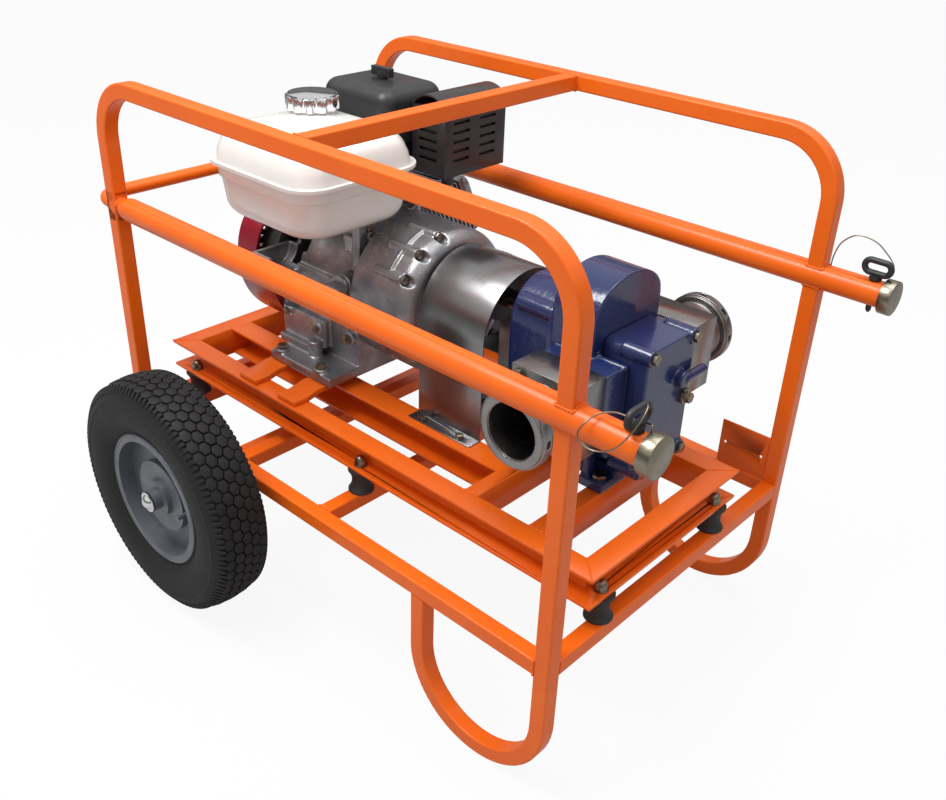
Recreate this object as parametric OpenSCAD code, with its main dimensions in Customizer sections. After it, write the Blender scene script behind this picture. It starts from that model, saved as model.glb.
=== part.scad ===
/* [Trolley frame] */
// Side of the square tube
tube = 25; // [20:1:30]
// Wall of the square tube
tube_wall = 2; // [1.5:0.5:3]
// Height of the top of the side hoops above the underside of the lower rails
hoop_rise = 596; // [565:1:625]
// Outer radius of the bends at the top of a hoop
hoop_bend_r = 100; // [80:1:120]
// Outer half width across the two side hoops
hoop_half_w = 303; // [295:1:310]
// Outer radius of the round skid under each hoop
skid_r = 125; // [115:1:125]

/* [Push rail and handles] */
// Outer diameter of the round push rail
push_od = 38; // [36:1:40]
// Height of the push rail's axis above the underside of the lower rails
push_rise = 388; // [375:1:395]
// Diameter of the sliding handle bar
handle_d = 32; // [30:0.5:32]
// Travel of the sliding handle bar
handle_travel = 300; // [100:10:300]
// Diameter of the locking pin's shank
pin_d = 8; // [6:1:10]

/* [Wheels] */
// Outer diameter of the tyre
wheel_d = 400; // [380:1:400]
// Width of the tyre
tyre_w = 100; // [90:1:110]
// Outer diameter of the rim's flange
rim_d = 226; // [220:1:230]
// Half of the track between the two tyre centres
half_track = 385; // [385:1:400]
// Diameter of the axle
axle_d = 20; // [16:1:25]
// Number of tread lugs round each shoulder
tread_lugs = 28; // [16:1:36]

/* [Base frame] */
// Height of the base channel
channel_h = 50; // [40:1:60]
// Flange width of the base channel
channel_flange = 35; // [30:1:40]
// Thickness of the base channel
channel_t = 5; // [4:0.5:6]
// Height of the rubber mounts
mount_h = 40; // [30:1:45]

/* [Engine] */
// Height of the crankshaft above the engine's feet
crank_h = 133; // [130:1:136]
// Sideways place of the crankshaft and the shaft line
shaft_y = 20; // [15:1:25]
// Teeth of the crankshaft pinion
pinion_teeth = 18; // [16:2:20]
// Teeth of the output gear
output_teeth = 36; // [34:2:38]
// Module of the reduction gears
gear_module = 2; // [2:0.5:2]
// Tilt of the cylinder above the horizontal
cylinder_tilt = 25; // [20:1:30]

/* [Pump] */
// Distance between the two rotor shafts
rotor_centres = 100; // [96:2:104]
// Number of lobes on each rotor
lobes = 3; // [3:1:4]
// Running clearance round each rotor
rotor_gap = 0.4; // [0.3:0.05:0.6]
// Length of the rotors
rotor_len = 52; // [40:1:56]
// Bore of the suction and discharge ports
port_bore = 80; // [70:1:82]
// Teeth of each timing gear
timing_teeth = 50; // [48:2:52]

/* [Hidden] */
$fn = 64;
eps = 0.01;

// The row's origin is half way along the object; x below is counted from the wheel axle
origin_x = 265.5;

// Trolley, its rails carried on the axle beam over the wheel axle
beam_h = 30;
rail_z = wheel_d / 2 + beam_h / 2;
hoop_top = rail_z + hoop_rise;
push_z = rail_z + push_rise;
hoop_rear = -239;
hoop_front = 716;
hoop_y = hoop_half_w - tube / 2;
beam_half = hoop_half_w + 15;
axle_half = half_track + 47;
leg_front = hoop_front - tube;
skid_x = leg_front + tube - skid_r;
rail_top = rail_z + tube;
push_rear = -272;
push_bend_r = 75;
push_front = 805;
push_wall = 2.4;
push_y = 290.5;
pin_x = 789;
handle_len = 400;
handle_gap = 1;
handle_wall = 2.5;
handle_head_d = 50;
handle_head_t = 16;
slot_w = pin_d + 1;
cross_bar_x = [hoop_rear, -200, 33, 240, leg_front];
top_bar_x = 225;
plate_size = [86, 79];
plate_holes = [10, 76];

// Base frame
base_z = rail_top + mount_h;
base_top = base_z + channel_h;
base_x = [-235, 710];
base_y = [-218, 147];
mount_places = [[697, -175], [697, 107], [252.5, -203], [252.5, 132], [-187.5, -203], [-187.5, 132]];
mount_d = 41;
stud_d = 10;
inner_y = [-115, -72];
member_x = [455, 575];
pump_bolt_y = [56, 62];
pump_hole_r = 6.5;
bolt_x = [-17, 84];
bolt_y = [-138, 100];
bracket_w = 44;
bracket_t = 9;

// Engine
foot_z = base_top + 15;
crank_z = foot_z + crank_h;
lever_at = [112, 55, foot_z + 272];
starter_at = [-96, crank_z + 44];
tank_x = [-78, 165];
tank_y = [-218, 15];
tank_z = [foot_z + 267, foot_z + 417];
tank_seam = foot_z + 355;
cap_at = [-5, -60];
foot_t = 16;
case_x = [-70, 118];
case_r = 105;
case_wall = 9;
case_far = bolt_y[1] - 15;
drum_x = [118, 245];
drum_r = 122;
drum_z = crank_z + 7;
gear_drop = gear_module * (pinion_teeth + output_teeth) / 2;
drive_z = crank_z + gear_drop;
gear_x = [150, 172];
head_from = 112;

// Pump
pump_x = 555;
lower_z = drive_z - rotor_centres;
rotor_r = rotor_centres / 2;
port_z = drive_z - rotor_r;
rotor_tip = rotor_r * (1 + 1 / lobes);
chamber_r = rotor_tip + rotor_gap;
case_half = chamber_r + 10;
chamber_x = [490, 544];
passage_r = port_bore / 2 + 2;
dome_z = drive_z + 51;
cover_x = [565, 640];
cover_y = [-35, 80];
cover_z = [lower_z - 64, drive_z + 30];
cover_r = 12;
block_half = 57;
shaft_d = 30;
output_d = 25;
timing_module = rotor_centres / timing_teeth;

// ---------- helpers ----------
module place() translate([-origin_x, 0, 0]) children();
module side(s) { if (s < 0) children(); else mirror([0, 1, 0]) children(); }
module along_x(x, y, z) translate([x, y, z]) rotate([90, 0, 90]) children();
module along_y(x, y, z) translate([x, y, z]) rotate([-90, 0, 0]) children();

// Rounded rectangle from plain squares and circles, centred
module rounded(w, h, r) {
  square([w - 2 * r, h], center = true);
  square([w, h - 2 * r], center = true);
  for (x = [-1, 1], y = [-1, 1]) translate([x * (w / 2 - r), y * (h / 2 - r)]) circle(r, $fn = 32);
}

// Section of the square tube, hollow
module tube_section() difference() {
  rounded(tube, tube, 3);
  rounded(tube - 2 * tube_wall, tube - 2 * tube_wall, 1.2);
}

// Straight square tube along +z from the origin
module tube_z(len) linear_extrude(len) tube_section();
module tube_x(x, y, z, len) translate([x, y, z]) rotate([90, 0, 90]) tube_z(len);
module tube_y(x, y, z, len) translate([x, y, z]) rotate([-90, 0, 0]) tube_z(len);

// Quarter bend of square tube in the xz plane, centred on its bend, from angle a
module tube_bend(x, y, z, r, a, sweep) translate([x, y, z]) rotate([90, 0, 0]) rotate(a)
  rotate_extrude(angle = sweep, $fn = 96) translate([r, 0]) tube_section();

// Solid ring of revolution about y
module ring_y(x, y, z, r_out, r_in, w) along_y(x, y, z) difference() {
  cylinder(h = w, r = r_out);
  translate([0, 0, -1]) cylinder(h = w + 2, r = r_in);
}
module ring_x(x, y, z, r_out, r_in, w) along_x(x, y, z) difference() {
  cylinder(h = w, r = r_out);
  translate([0, 0, -1]) cylinder(h = w + 2, r = r_in);
}

// Hexagon-head bolt along +z, head on top of z = 0
module hex_bolt(d, shank) {
  cylinder(h = 0.65 * d, d = 1.8 * d, $fn = 6);
  translate([0, 0, -shank]) cylinder(h = shank + eps, d = d, $fn = 24);
}

// Obround outline with a vertical long axis, in the yz plane drawn as (x, y)
module obround(y, z_low, z_high, r) {
  translate([y, z_low]) circle(r, $fn = 96);
  translate([y, z_high]) circle(r, $fn = 96);
  translate([y - r, z_low]) square([2 * r, z_high - z_low]);
}

// Involute spur gear outline, tooth on the +x axis
function involute(a) = tan(a) - a * PI / 180;
function flank(teeth, m, r) = 90 / teeth - 0.35 + (involute(20) -
  involute(acos(min(1, teeth * m * cos(20) / 2 / r)))) * 180 / PI;
function polar(r, a) = [r * cos(a), r * sin(a)];
function gear_outline(teeth, m) =
  let (rp = teeth * m / 2, rb = max(rp * cos(20), rp - 1.25 * m), rr = rp - 1.25 * m, rt = rp + 0.95 * m)
  [for (i = [0 : teeth - 1]) each let (c = i * 360 / teeth)
    [polar(rr, c - flank(teeth, m, rb) - 0.2), polar(rb, c - flank(teeth, m, rb)),
     polar(rp, c - flank(teeth, m, rp)), polar(rt, c - flank(teeth, m, rt)),
     polar(rt, c + flank(teeth, m, rt)), polar(rp, c + flank(teeth, m, rp)),
     polar(rb, c + flank(teeth, m, rb)), polar(rr, c + flank(teeth, m, rb) + 0.2)]];

// Cycloidal lobe outline: an epicycloid outside the rolling circle and a hypocycloid inside it
function lobe_point(t) =
  let (k = 2 * lobes, roll = rotor_r / k, s = sin(lobes * t) >= 0 ? 1 : -1)
  [(rotor_r + s * roll) * cos(t) - s * roll * cos((k + s) * t),
   (rotor_r + s * roll) * sin(t) - roll * sin((k + s) * t)];
function lobe_normal(t) =
  let (d = lobe_point(t + 0.2) - lobe_point(t - 0.2))
  [d[1], -d[0]] / norm(d);
function lobe_outline(step) = [for (t = [step / 2 : step : 360 - step / 4])
  lobe_point(t) - (rotor_gap / 2) * lobe_normal(t)];

// ---------- trolley ----------
module side_hoop() {
  straight = hoop_bend_r - tube / 2;
  difference() {
    union() {
      translate([hoop_rear + tube / 2, -hoop_y, rail_z]) tube_z(hoop_top - hoop_bend_r - rail_z);
      tube_bend(hoop_rear + hoop_bend_r, -hoop_y, hoop_top - hoop_bend_r, straight, 90, 90);
      tube_x(hoop_rear + hoop_bend_r, -hoop_y, hoop_top - tube / 2,
        hoop_front - hoop_rear - 2 * hoop_bend_r);
      tube_bend(hoop_front - hoop_bend_r, -hoop_y, hoop_top - hoop_bend_r, straight, 0, 90);
      translate([leg_front + tube / 2, -hoop_y, skid_r]) tube_z(hoop_top - hoop_bend_r - skid_r);
      tube_bend(skid_x, -hoop_y, skid_r, skid_r - tube / 2, 180, 180);
      translate([skid_x - skid_r + tube / 2, -hoop_y, skid_r]) tube_z(rail_z - skid_r);
    }
    push_side(-1) circle(push_od / 2);
  }
}
module side_hoop_left() color([0.93, 0.38, 0.08]) place() side_hoop();
module side_hoop_right() color([0.93, 0.38, 0.08]) place() side(1) side_hoop();

// One side of the push rail with its bend: the section given as a child is swept along it
module push_side(s) {
  along_x(push_rear + push_bend_r, s * push_y, push_z)
    linear_extrude(push_front - push_rear - push_bend_r) children();
  translate([push_rear + push_bend_r, s * (push_y - push_bend_r), push_z])
    rotate(s > 0 ? 90 : 180) rotate_extrude(angle = 90, $fn = 96) translate([push_bend_r, 0]) children();
}
module push_section() difference() {
  circle(push_od / 2);
  circle(push_od / 2 - push_wall);
}
module push_rail() color([0.95, 0.4, 0.1]) place() difference() {
  for (s = [-1, 1]) push_side(s) push_section();
  for (s = [-1, 1]) translate([pin_x, s * push_y, push_z - 30]) cylinder(h = 60, d = pin_d + 0.8);
}
module rear_bar() color([0.95, 0.4, 0.1]) place()
  along_y(push_rear, push_bend_r - push_y, push_z)
    linear_extrude(2 * (push_y - push_bend_r)) push_section();

module lower_rails() color([0.93, 0.38, 0.08]) place() for (s = [-1, 1])
  tube_x(hoop_rear + tube, s * hoop_y, rail_z + tube / 2, leg_front - hoop_rear - tube);

module cross_bars() color([0.9, 0.36, 0.08]) place() {
  for (x = cross_bar_x)
    tube_y(x + tube / 2, -hoop_half_w + tube, rail_z + tube / 2, 2 * (hoop_half_w - tube));
  tube_y(top_bar_x + tube / 2, -hoop_half_w + tube, hoop_top - tube / 2, 2 * (hoop_half_w - tube));
}

module corner_plate() color([0.93, 0.38, 0.08]) place() difference() {
  translate([leg_front - plate_size[0], hoop_half_w - tube + 2, rail_top])
    cube([plate_size[0], 3, plate_size[1]]);
  for (x = plate_holes) along_y(leg_front - x, hoop_half_w - tube, rail_top + plate_size[1] / 2)
    cylinder(h = 8, d = 5);
}

module axle_beam() color([0.93, 0.38, 0.08]) place() difference() {
  translate([-beam_h / 2, -beam_half, rail_z - beam_h]) cube([beam_h, 2 * beam_half, beam_h]);
  along_y(0, -beam_half - 1, wheel_d / 2) cylinder(h = 2 * beam_half + 2, d = axle_d);
}
module axle() color("silver") place() {
  along_y(0, -axle_half, wheel_d / 2) cylinder(h = 2 * axle_half, d = axle_d);
  for (s = [-1, 1]) ring_y(0, s * (beam_half + 10) - 10, wheel_d / 2, 17, axle_d / 2, 20);
}
module hub_caps() color("gainsboro") place() for (s = [-1, 1]) side(s) along_y(0, -axle_half, wheel_d / 2)
  rotate([180, 0, 0]) {
    cylinder(h = 2, r = 17);
    translate([0, 0, 2]) rotate_extrude() intersection() {
      translate([0, -6]) circle(14);
      square([20, 20]);
    }
  }

// ---------- wheels ----------
// Outline of the tyre above the axle: half of it on each side of the centre line
tyre_r = wheel_d / 2;
bead_r = rim_d / 2 - 10;
bead_half = 34.8;
module tyre_profile() difference() {
  union() {
    translate([bead_r, -bead_half]) square([22, 2 * bead_half]);
    translate([155, 0]) intersection() {
      for (s = [-1, 1]) translate([0, s * (tyre_w / 2 - 42)]) circle(42, $fn = 64);
      translate([-60, -tyre_w / 2]) square([120, tyre_w]);
    }
    translate([125, -45]) square([60, 90]);
    translate([tyre_r - 16, 0]) for (s = [-1, 1]) translate([-3, s * 30]) circle(18, $fn = 48);
    translate([tyre_r - 30, -33]) square([30 - 1.2, 66]);
    translate([tyre_r - 30, -15]) square([30, 30]);
  }
  translate([tyre_r, 50]) circle(7);
  translate([tyre_r, -50]) circle(7);
  translate([bead_r - 1, -28]) square([30, 56]);
  translate([150, 0]) rounded(64, 72, 18);
  for (s = [-1, 1]) translate([tyre_r - 3.5, s * 15 - 2]) square([10, 4]);
}
module tyre(s) place() side(s) along_y(0, -half_track, wheel_d / 2) difference() {
  rotate_extrude($fn = 96) tyre_profile();
  for (i = [0 : tread_lugs - 1]) rotate(i * 360 / tread_lugs) for (e = [-1, 1])
    rotate(e > 0 ? 180 / tread_lugs : 0) translate([tyre_r - 5, -3, e > 0 ? 18 : -58])
      cube([20, 6, 40]);
}
module tyre_left() color([0.1, 0.1, 0.1]) tyre(-1);
module tyre_right() color([0.1, 0.1, 0.1]) tyre(1);

// Pressed steel rim: flanges, bead seats, dropped well and a stepped disc round the hub tube.
// Axial places are counted from the wheel's centre, + towards the trolley
module rim_profile() {
  for (s = [-1, 1]) {
    translate([bead_r - 3, s * 33 - 3]) square([3, 6]);
    translate([rim_d / 2 - 10, s * 37.5 - 1.5]) square([8, 3]);
    translate([rim_d / 2 - 2.5, s * 37.5]) circle(2.5, $fn = 24);
    translate([bead_r - 3, s * 36.5 - 2.5]) square([3, 5]);
    translate([bead_r - 3, s * 24 - 12]) square([3, 24]);
    translate([bead_r - 20, s * 12 - 1.5]) square([20, 3]);
  }
  translate([bead_r - 20, -13.5]) square([3, 27]);
  translate([58, -13.5]) square([bead_r - 20 - 58 + eps, 3]);
  translate([58, -24]) square([3, 13.5]);
  translate([30, -24]) square([30, 3]);
  translate([28, -32]) square([3, 11]);
  translate([17, -32]) square([13, 3]);
}
module rim(s) place() side(s) along_y(0, -half_track, wheel_d / 2) {
  difference() {
    union() {
      rotate_extrude($fn = 96) rim_profile();
      translate([0, 0, -46]) cylinder(h = 92, r = 17.5);
    }
    translate([0, 0, -50]) cylinder(h = 100, r = axle_d / 2 + 0.08);
    translate([70, 0, -20]) cylinder(h = 20, r = 4);
  }
  translate([70, 0, -40]) {
    cylinder(h = 34, r = 4, $fn = 24);
    translate([0, 0, 27]) cylinder(h = 4, r = 7, $fn = 24);
  }
}
module rim_left() color([0.62, 0.63, 0.65]) rim(-1);
module rim_right() color([0.62, 0.63, 0.65]) rim(1);

// ---------- handles ----------
module handle(s) place() side(s) {
  back = push_front + handle_gap;
  along_x(back, -push_y, push_z) cylinder(h = handle_head_t, d = handle_head_d);
  difference() {
    along_x(back - handle_len, -push_y, push_z) cylinder(h = handle_len + eps, d = handle_d);
    along_x(back - handle_len - 1, -push_y, push_z)
      cylinder(h = handle_len - 3, d = handle_d - 2 * handle_wall);
    translate([pin_x - handle_travel - slot_w / 2, -push_y - slot_w / 2, push_z - 20])
      cube([handle_travel + slot_w, slot_w, 40]);
  }
}
module handle_left() color([0.75, 0.75, 0.72]) handle(-1);
module handle_right() color([0.75, 0.75, 0.72]) handle(1);

module pull_pin(s) place() side(s) translate([pin_x, -push_y, push_z]) {
  top = push_od / 2 + 1;
  translate([0, 0, -26]) cylinder(h = 27 + top, d = pin_d);
  translate([0, 0, -30]) cylinder(h = 4.01, d1 = 4, d2 = pin_d);
  translate([0, 0, top]) cylinder(h = 6, d = 18);
  translate([0, 0, top + 17]) rotate([90, 0, s < 0 ? 90 : 0]) for (e = [0, 1]) rotate(180 * e) {
    translate([10, 0]) rotate(-90) rotate_extrude(angle = 180) translate([9, 0]) circle(4.5);
    translate([-10, 9]) rotate([0, 90, 0]) cylinder(h = 20, r = 4.5);
  }
}
module pull_pin_left() color([0.08, 0.08, 0.08]) pull_pin(-1);
module pull_pin_right() color([0.08, 0.08, 0.08]) pull_pin(1);

// Wire lanyards: hand-placed route from the rivet on the rail to the ring of the pin
wire_d = 2;
lanyard_route_left = [[801, -283, 623], [800, -279, 628], [794, -277, 627], [784, -277, 624],
  [772, -281, 627], [757, -285, 628], [746, -297, 627], [740, -312, 621], [736, -320, 609],
  [742, -322, 600], [756, -320, 596], [772, -318, 601], [786, -319, 613], [797, -318, 630],
  [804, -312, 646], [805, -302, 658], [800, -294, 660], [797, -291, 657]];
lanyard_route_right = [[722, 291, 623], [722, 294, 638], [726, 298, 655], [736, 299, 667],
  [746, 300, 673], [759, 301, 674], [776, 302, 670], [791, 302, 660], [801, 300.5, 652],
  [808, 297.5, 646]];

// Smooth path through the route's points, and a tube of round rings along it
function spline(p, i, t) =
  let (n = len(p), a = p[max(i - 1, 0)], b = p[i], c = p[min(i + 1, n - 1)], d = p[min(i + 2, n - 1)])
  0.5 * ((2 * b) + (c - a) * t + (2 * a - 5 * b + 4 * c - d) * t * t + (3 * b - a - 3 * c + d) * t * t * t);
function smooth(p, k) = [for (i = [0 : len(p) - 2], j = [0 : k - 1]) spline(p, i, j / k), p[len(p) - 1]];
function unit(v) = v / norm(v);
module wire(route, d, steps, sides) {
  p = smooth(route, steps);
  n = len(p);
  points = [for (i = [0 : n - 1]) each
    let (t = unit(p[min(i + 1, n - 1)] - p[max(i - 1, 0)]),
         u = unit(cross(t, abs(t[1]) < 0.9 ? [0, 1, 0] : [1, 0, 0])), v = cross(t, u))
    [for (k = [0 : sides - 1]) p[i] + d / 2 * (cos(k * 360 / sides) * u + sin(k * 360 / sides) * v)]];
  walls = [for (i = [0 : n - 2], k = [0 : sides - 1])
    let (a = i * sides + k, b = i * sides + (k + 1) % sides) [a, b, b + sides, a + sides]];
  polyhedron(points, concat([[for (k = [sides - 1 : -1 : 0]) k]], walls,
    [[for (k = [0 : sides - 1]) (n - 1) * sides + k]]), convexity = 6);
}
module lanyard_left() color("silver") place() wire(lanyard_route_left, wire_d, 2, 8);
module lanyard_right() color("silver") place() wire(lanyard_route_right, wire_d, 3, 8);

// ---------- base frame ----------
// Channel section with its toes towards -y and its web at y = 0, from z = 0 up
module channel_section() {
  translate([-channel_t, 0]) square([channel_t, channel_h]);
  for (z = [0, channel_h - channel_t]) translate([-channel_flange, z]) square([channel_flange, channel_t]);
}
// Mitred channel of one side of the frame: outer edge at y = 0, frame inside towards +y
module mitred_channel(len) difference() {
  rotate([90, 0, 90]) linear_extrude(len) translate([channel_flange, 0]) channel_section();
  for (e = [0, 1]) translate([e * len, 0, -1]) mirror([e, 0, 0]) linear_extrude(channel_h + 2)
    polygon([[-1, -1], [-1, channel_flange + 2], [channel_flange + 1, channel_flange + 2],
      [channel_flange, channel_flange], [0, 0]]);
}
module base_channels() color([0.9, 0.36, 0.08]) place() difference() {
  length = base_x[1] - base_x[0];
  width = base_y[1] - base_y[0];
  translate([base_x[0], base_y[0], base_z]) {
    mitred_channel(length);
    translate([length, width, 0]) rotate(180) mitred_channel(length);
    translate([0, width, 0]) rotate(-90) mitred_channel(width);
    translate([length, 0, 0]) rotate(90) mitred_channel(width);
  }
  for (m = mount_places) translate([m[0], m[1], base_z - 1]) cylinder(h = channel_t + 2, d = stud_d);
}

module base_members() color([0.88, 0.34, 0.08]) place() {
  web_y = base_y[0] + channel_flange;
  far_y = base_y[1] - channel_flange;
  translate([base_x[0] + channel_flange, inner_y[1], base_z]) rotate([90, 0, 90])
    linear_extrude(member_x[0] - base_x[0] - channel_flange) {
      translate([-channel_t, 0]) square([channel_t, channel_h]);
      for (z = [0, channel_h - channel_t]) translate([inner_y[0] - inner_y[1], z])
        square([inner_y[1] - inner_y[0], channel_t]);
    }
  difference() {
    for (x = member_x) translate([x + tube / 2, web_y, base_z + channel_h / 2]) rotate([-90, 0, 0])
      linear_extrude(far_y - web_y) difference() {
        square([tube, channel_h], center = true);
        square([tube - 2 * tube_wall, channel_h - 2 * tube_wall], center = true);
      }
    for (i = [0, 1], s = [-1, 1])
      translate([member_x[i] + tube / 2, shaft_y + s * pump_bolt_y[i], base_top - 2 * tube_wall])
        cylinder(h = 3 * tube_wall, r = pump_hole_r);
  }
  for (x = bolt_x) difference() {
    along_x(x - bracket_w / 2, 0, base_top) linear_extrude(bracket_w) polygon([
      [base_y[0] + 4, 0], [base_y[0] + 36, 0], [-158, foot_z - base_top - bracket_t],
      [118, foot_z - base_top - bracket_t], [124, 0], [base_y[1] - 4, 0], [base_y[1] - 4, bracket_t],
      [130, bracket_t], [122, foot_z - base_top], [-162, foot_z - base_top],
      [base_y[0] + 30, bracket_t], [base_y[0] + 4, bracket_t]]);
    for (y = bolt_y) translate([x, y, base_top]) cylinder(h = 20, d = 10.4);
  }
}

module isolators() color([0.08, 0.08, 0.08]) place() for (m = mount_places)
  translate([m[0], m[1], rail_top]) difference() {
    rotate_extrude() difference() {
      square([mount_d / 2, mount_h]);
      translate([mount_d / 2 + 21, mount_h / 2]) circle(27);
    }
    translate([0, 0, mount_h - 10]) cylinder(h = 11, d = stud_d);
  }
module isolator_nuts() color("silver") place() for (m = mount_places)
  translate([m[0], m[1], base_z]) {
    translate([0, 0, -10]) cylinder(h = 10 + channel_t, d = stud_d);
    translate([0, 0, channel_t]) cylinder(h = 2, d = 21);
    translate([0, 0, channel_t + 2]) cylinder(h = 8, d = 19, $fn = 6);
    translate([0, 0, channel_t + 9]) intersection() {
      sphere(r = 8.2);
      cylinder(h = 10, r = 10);
    }
  }

// ---------- engine ----------
// Local frame of the cylinder: +z runs out along the bore from the crankshaft
module along_cylinder() translate([0, shaft_y, crank_z]) rotate([cylinder_tilt - 90, 0, 0]) children();
cylinder_x = 25;
panel_bolts = [[-46, -62], [31, -70]];
shelf_bolts = [[66, -44], [100, -40], [100, 10]];

module crankcase_outline() {
  translate([shaft_y, crank_z]) circle(case_r, $fn = 96);
  translate([shaft_y - case_r, foot_z + foot_t - eps])
    square([case_far - shaft_y + case_r, crank_h - foot_t]);
}
module crankcase() color([0.62, 0.63, 0.65]) place() {
  wall_y = shaft_y - case_r;
  difference() {
    union() {
      along_x(case_x[0], 0, 0) linear_extrude(case_x[1] - case_x[0]) crankcase_outline();
      along_cylinder() translate([cylinder_x - 58, -58, 60]) cube([116, 116, head_from - 60]);
      along_x(case_x[0], 0, 0) linear_extrude(12) {
        translate([shaft_y, crank_z]) circle(case_r + 8, $fn = 96);
        translate([wall_y - 8, foot_z + foot_t])
          square([case_far + 4 - wall_y + 8, crank_h - foot_t - 30]);
      }
      translate([case_x[0] + 34, -150, foot_z]) cube([case_x[1] - case_x[0] - 34, 262, foot_t]);
      for (x = bolt_x, y = bolt_y) translate([x, y, foot_z + foot_t - eps]) cylinder(h = 6, r = 13);
      along_x(case_x[0] - 18, starter_at[0], starter_at[1]) cylinder(h = 50, r = 42);
      // Governor panel with its step and corner bosses on the near wall
      translate([-62, wall_y - 13, crank_z - 104]) cube([110, 18, 50]);
      translate([-56, wall_y - 28, foot_z + foot_t]) cube([80, 32, 14]);
      translate([33, wall_y - 22, foot_z + foot_t]) cylinder(h = 28, r = 12);
      for (p = panel_bolts) along_y(p[0], wall_y - 17, crank_z + p[1]) cylinder(h = 20, r = 9);
      along_y(106, wall_y - 12, crank_z - 64) cylinder(h = 20, r = 12);
      // Stays up to the tank, and the shelf that carries the throttle linkage
      for (x = [-40, 90]) translate([x, -70, crank_z + 52]) cube([18, 18, tank_z[0] - crank_z - 52]);
      translate([lever_at[0], lever_at[1], crank_z + 82])
        cylinder(h = lever_at[2] - crank_z - 82.3, r = 6);
      translate([58, -60, crank_z + 62]) cube([52, 84, 34]);
      for (p = shelf_bolts) translate([p[0], p[1], crank_z + 62]) cylinder(h = 46, r = 8);
      for (z = [-14, 22]) translate([-58, wall_y - 5, crank_z + z]) cube([120, 8, 5]);
      along_y(96, wall_y - 13, crank_z + 28) cylinder(h = 40, r = 20);
    }
    along_x(case_x[0] + case_wall, shaft_y, crank_z)
      cylinder(h = case_x[1] - case_x[0] + 1 - case_wall, r = case_r - case_wall);
    translate([case_x[0] + case_wall, wall_y + case_wall, foot_z + foot_t])
      cube([case_x[1] - case_x[0] - case_wall - 12, case_far - wall_y - 2 * case_wall,
        crank_h - foot_t]);
    along_x(case_x[0] - 50, shaft_y, crank_z) cylinder(h = 60, r = 17.6);
    along_cylinder() translate([cylinder_x, 0, 40]) cylinder(h = 80, r = 44);
    along_x(case_x[0] - 10, starter_at[0], starter_at[1]) cylinder(h = 50, r = 34);
    translate([case_x[0] - 20, -150, starter_at[1]]) cube([70, 150 + starter_at[0] + 42, 44]);
    for (x = bolt_x, y = bolt_y) translate([x, y, foot_z - 1]) cylinder(h = 30, d = 10.4);
  }
}

// Reduction case: a smooth round-nosed hood with long screw bosses and a raised rib over its top
hood_nose = 26;
hood_wall = 14;
hood_boss_x = [160, 220];
hood_boss_turn = [103, 125, 147];
hood_rib_x = 190;
module hood_profile() {
  depth = drum_x[1] - drum_x[0];
  square([drum_r, depth - hood_nose]);
  square([drum_r - hood_nose, depth]);
  translate([drum_r - hood_nose, depth - hood_nose]) circle(hood_nose, $fn = 64);
}
module reduction_case() color([0.66, 0.66, 0.67]) place() difference() {
  union() {
    along_x(drum_x[0], shaft_y, drum_z) rotate_extrude($fn = 128) hood_profile();
    for (a = hood_boss_turn) along_x(hood_boss_x[0], shaft_y, drum_z) rotate(a)
      translate([drum_r - 2, 0]) cylinder(h = hood_boss_x[1] - hood_boss_x[0], r = 8);
    along_x(hood_rib_x, shaft_y, drum_z) rotate(hood_boss_turn[0])
      rotate_extrude(angle = hood_boss_turn[2] - hood_boss_turn[0], $fn = 128)
        translate([drum_r - 3, 0]) square([7, 5]);
    along_x(drum_x[1] - 20, shaft_y, drive_z) cylinder(h = 26, r = 32);
  }
  along_x(drum_x[0] - 1, shaft_y, drum_z)
    cylinder(h = drum_x[1] - drum_x[0] - 17, r = drum_r - hood_wall, $fn = 128);
  for (a = hood_boss_turn) along_x(hood_boss_x[1], shaft_y, drum_z) rotate(a)
    translate([drum_r - 2, 0]) cylinder(h = 30, r = 9);
  along_x(drum_x[1] - 30, shaft_y, drive_z) cylinder(h = 40, r = 12.6);
}

// Finned barrel and head, lying over to the right
fin_count = 12;
module cylinder_body() {
  along_cylinder() translate([cylinder_x, 0, 0]) difference() {
    union() {
      translate([-50, -50, head_from]) cube([100, 100, 96]);
      for (i = [0 : fin_count - 1]) translate([-66, -62, head_from + 4 + i * 7.6])
        cube([132, 124, 2.6]);
      translate([-60, -60, head_from]) cube([120, 120, 5]);
      translate([-58, -56, head_from + 90]) cube([116, 112, 14]);
    }
    translate([0, 0, head_from - 1]) cylinder(h = 66, r = 44);
  }
  translate([80, 150, foot_z + 245]) cylinder(h = 30, r = 14);
  translate([-20, 125, foot_z + 243]) cylinder(h = 18, r = 18);
}
module cylinder_node() color([0.45, 0.46, 0.48]) place() cylinder_body();
module rocker_cover() color([0.7, 0.71, 0.72]) place() along_cylinder()
  translate([cylinder_x, 0, head_from + 104]) difference() {
    union() {
      linear_extrude(5) rounded(112, 108, 16);
      linear_extrude(18) rounded(100, 96, 20);
    }
    translate([0, 0, -1]) linear_extrude(14) rounded(92, 88, 16);
  }

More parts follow.
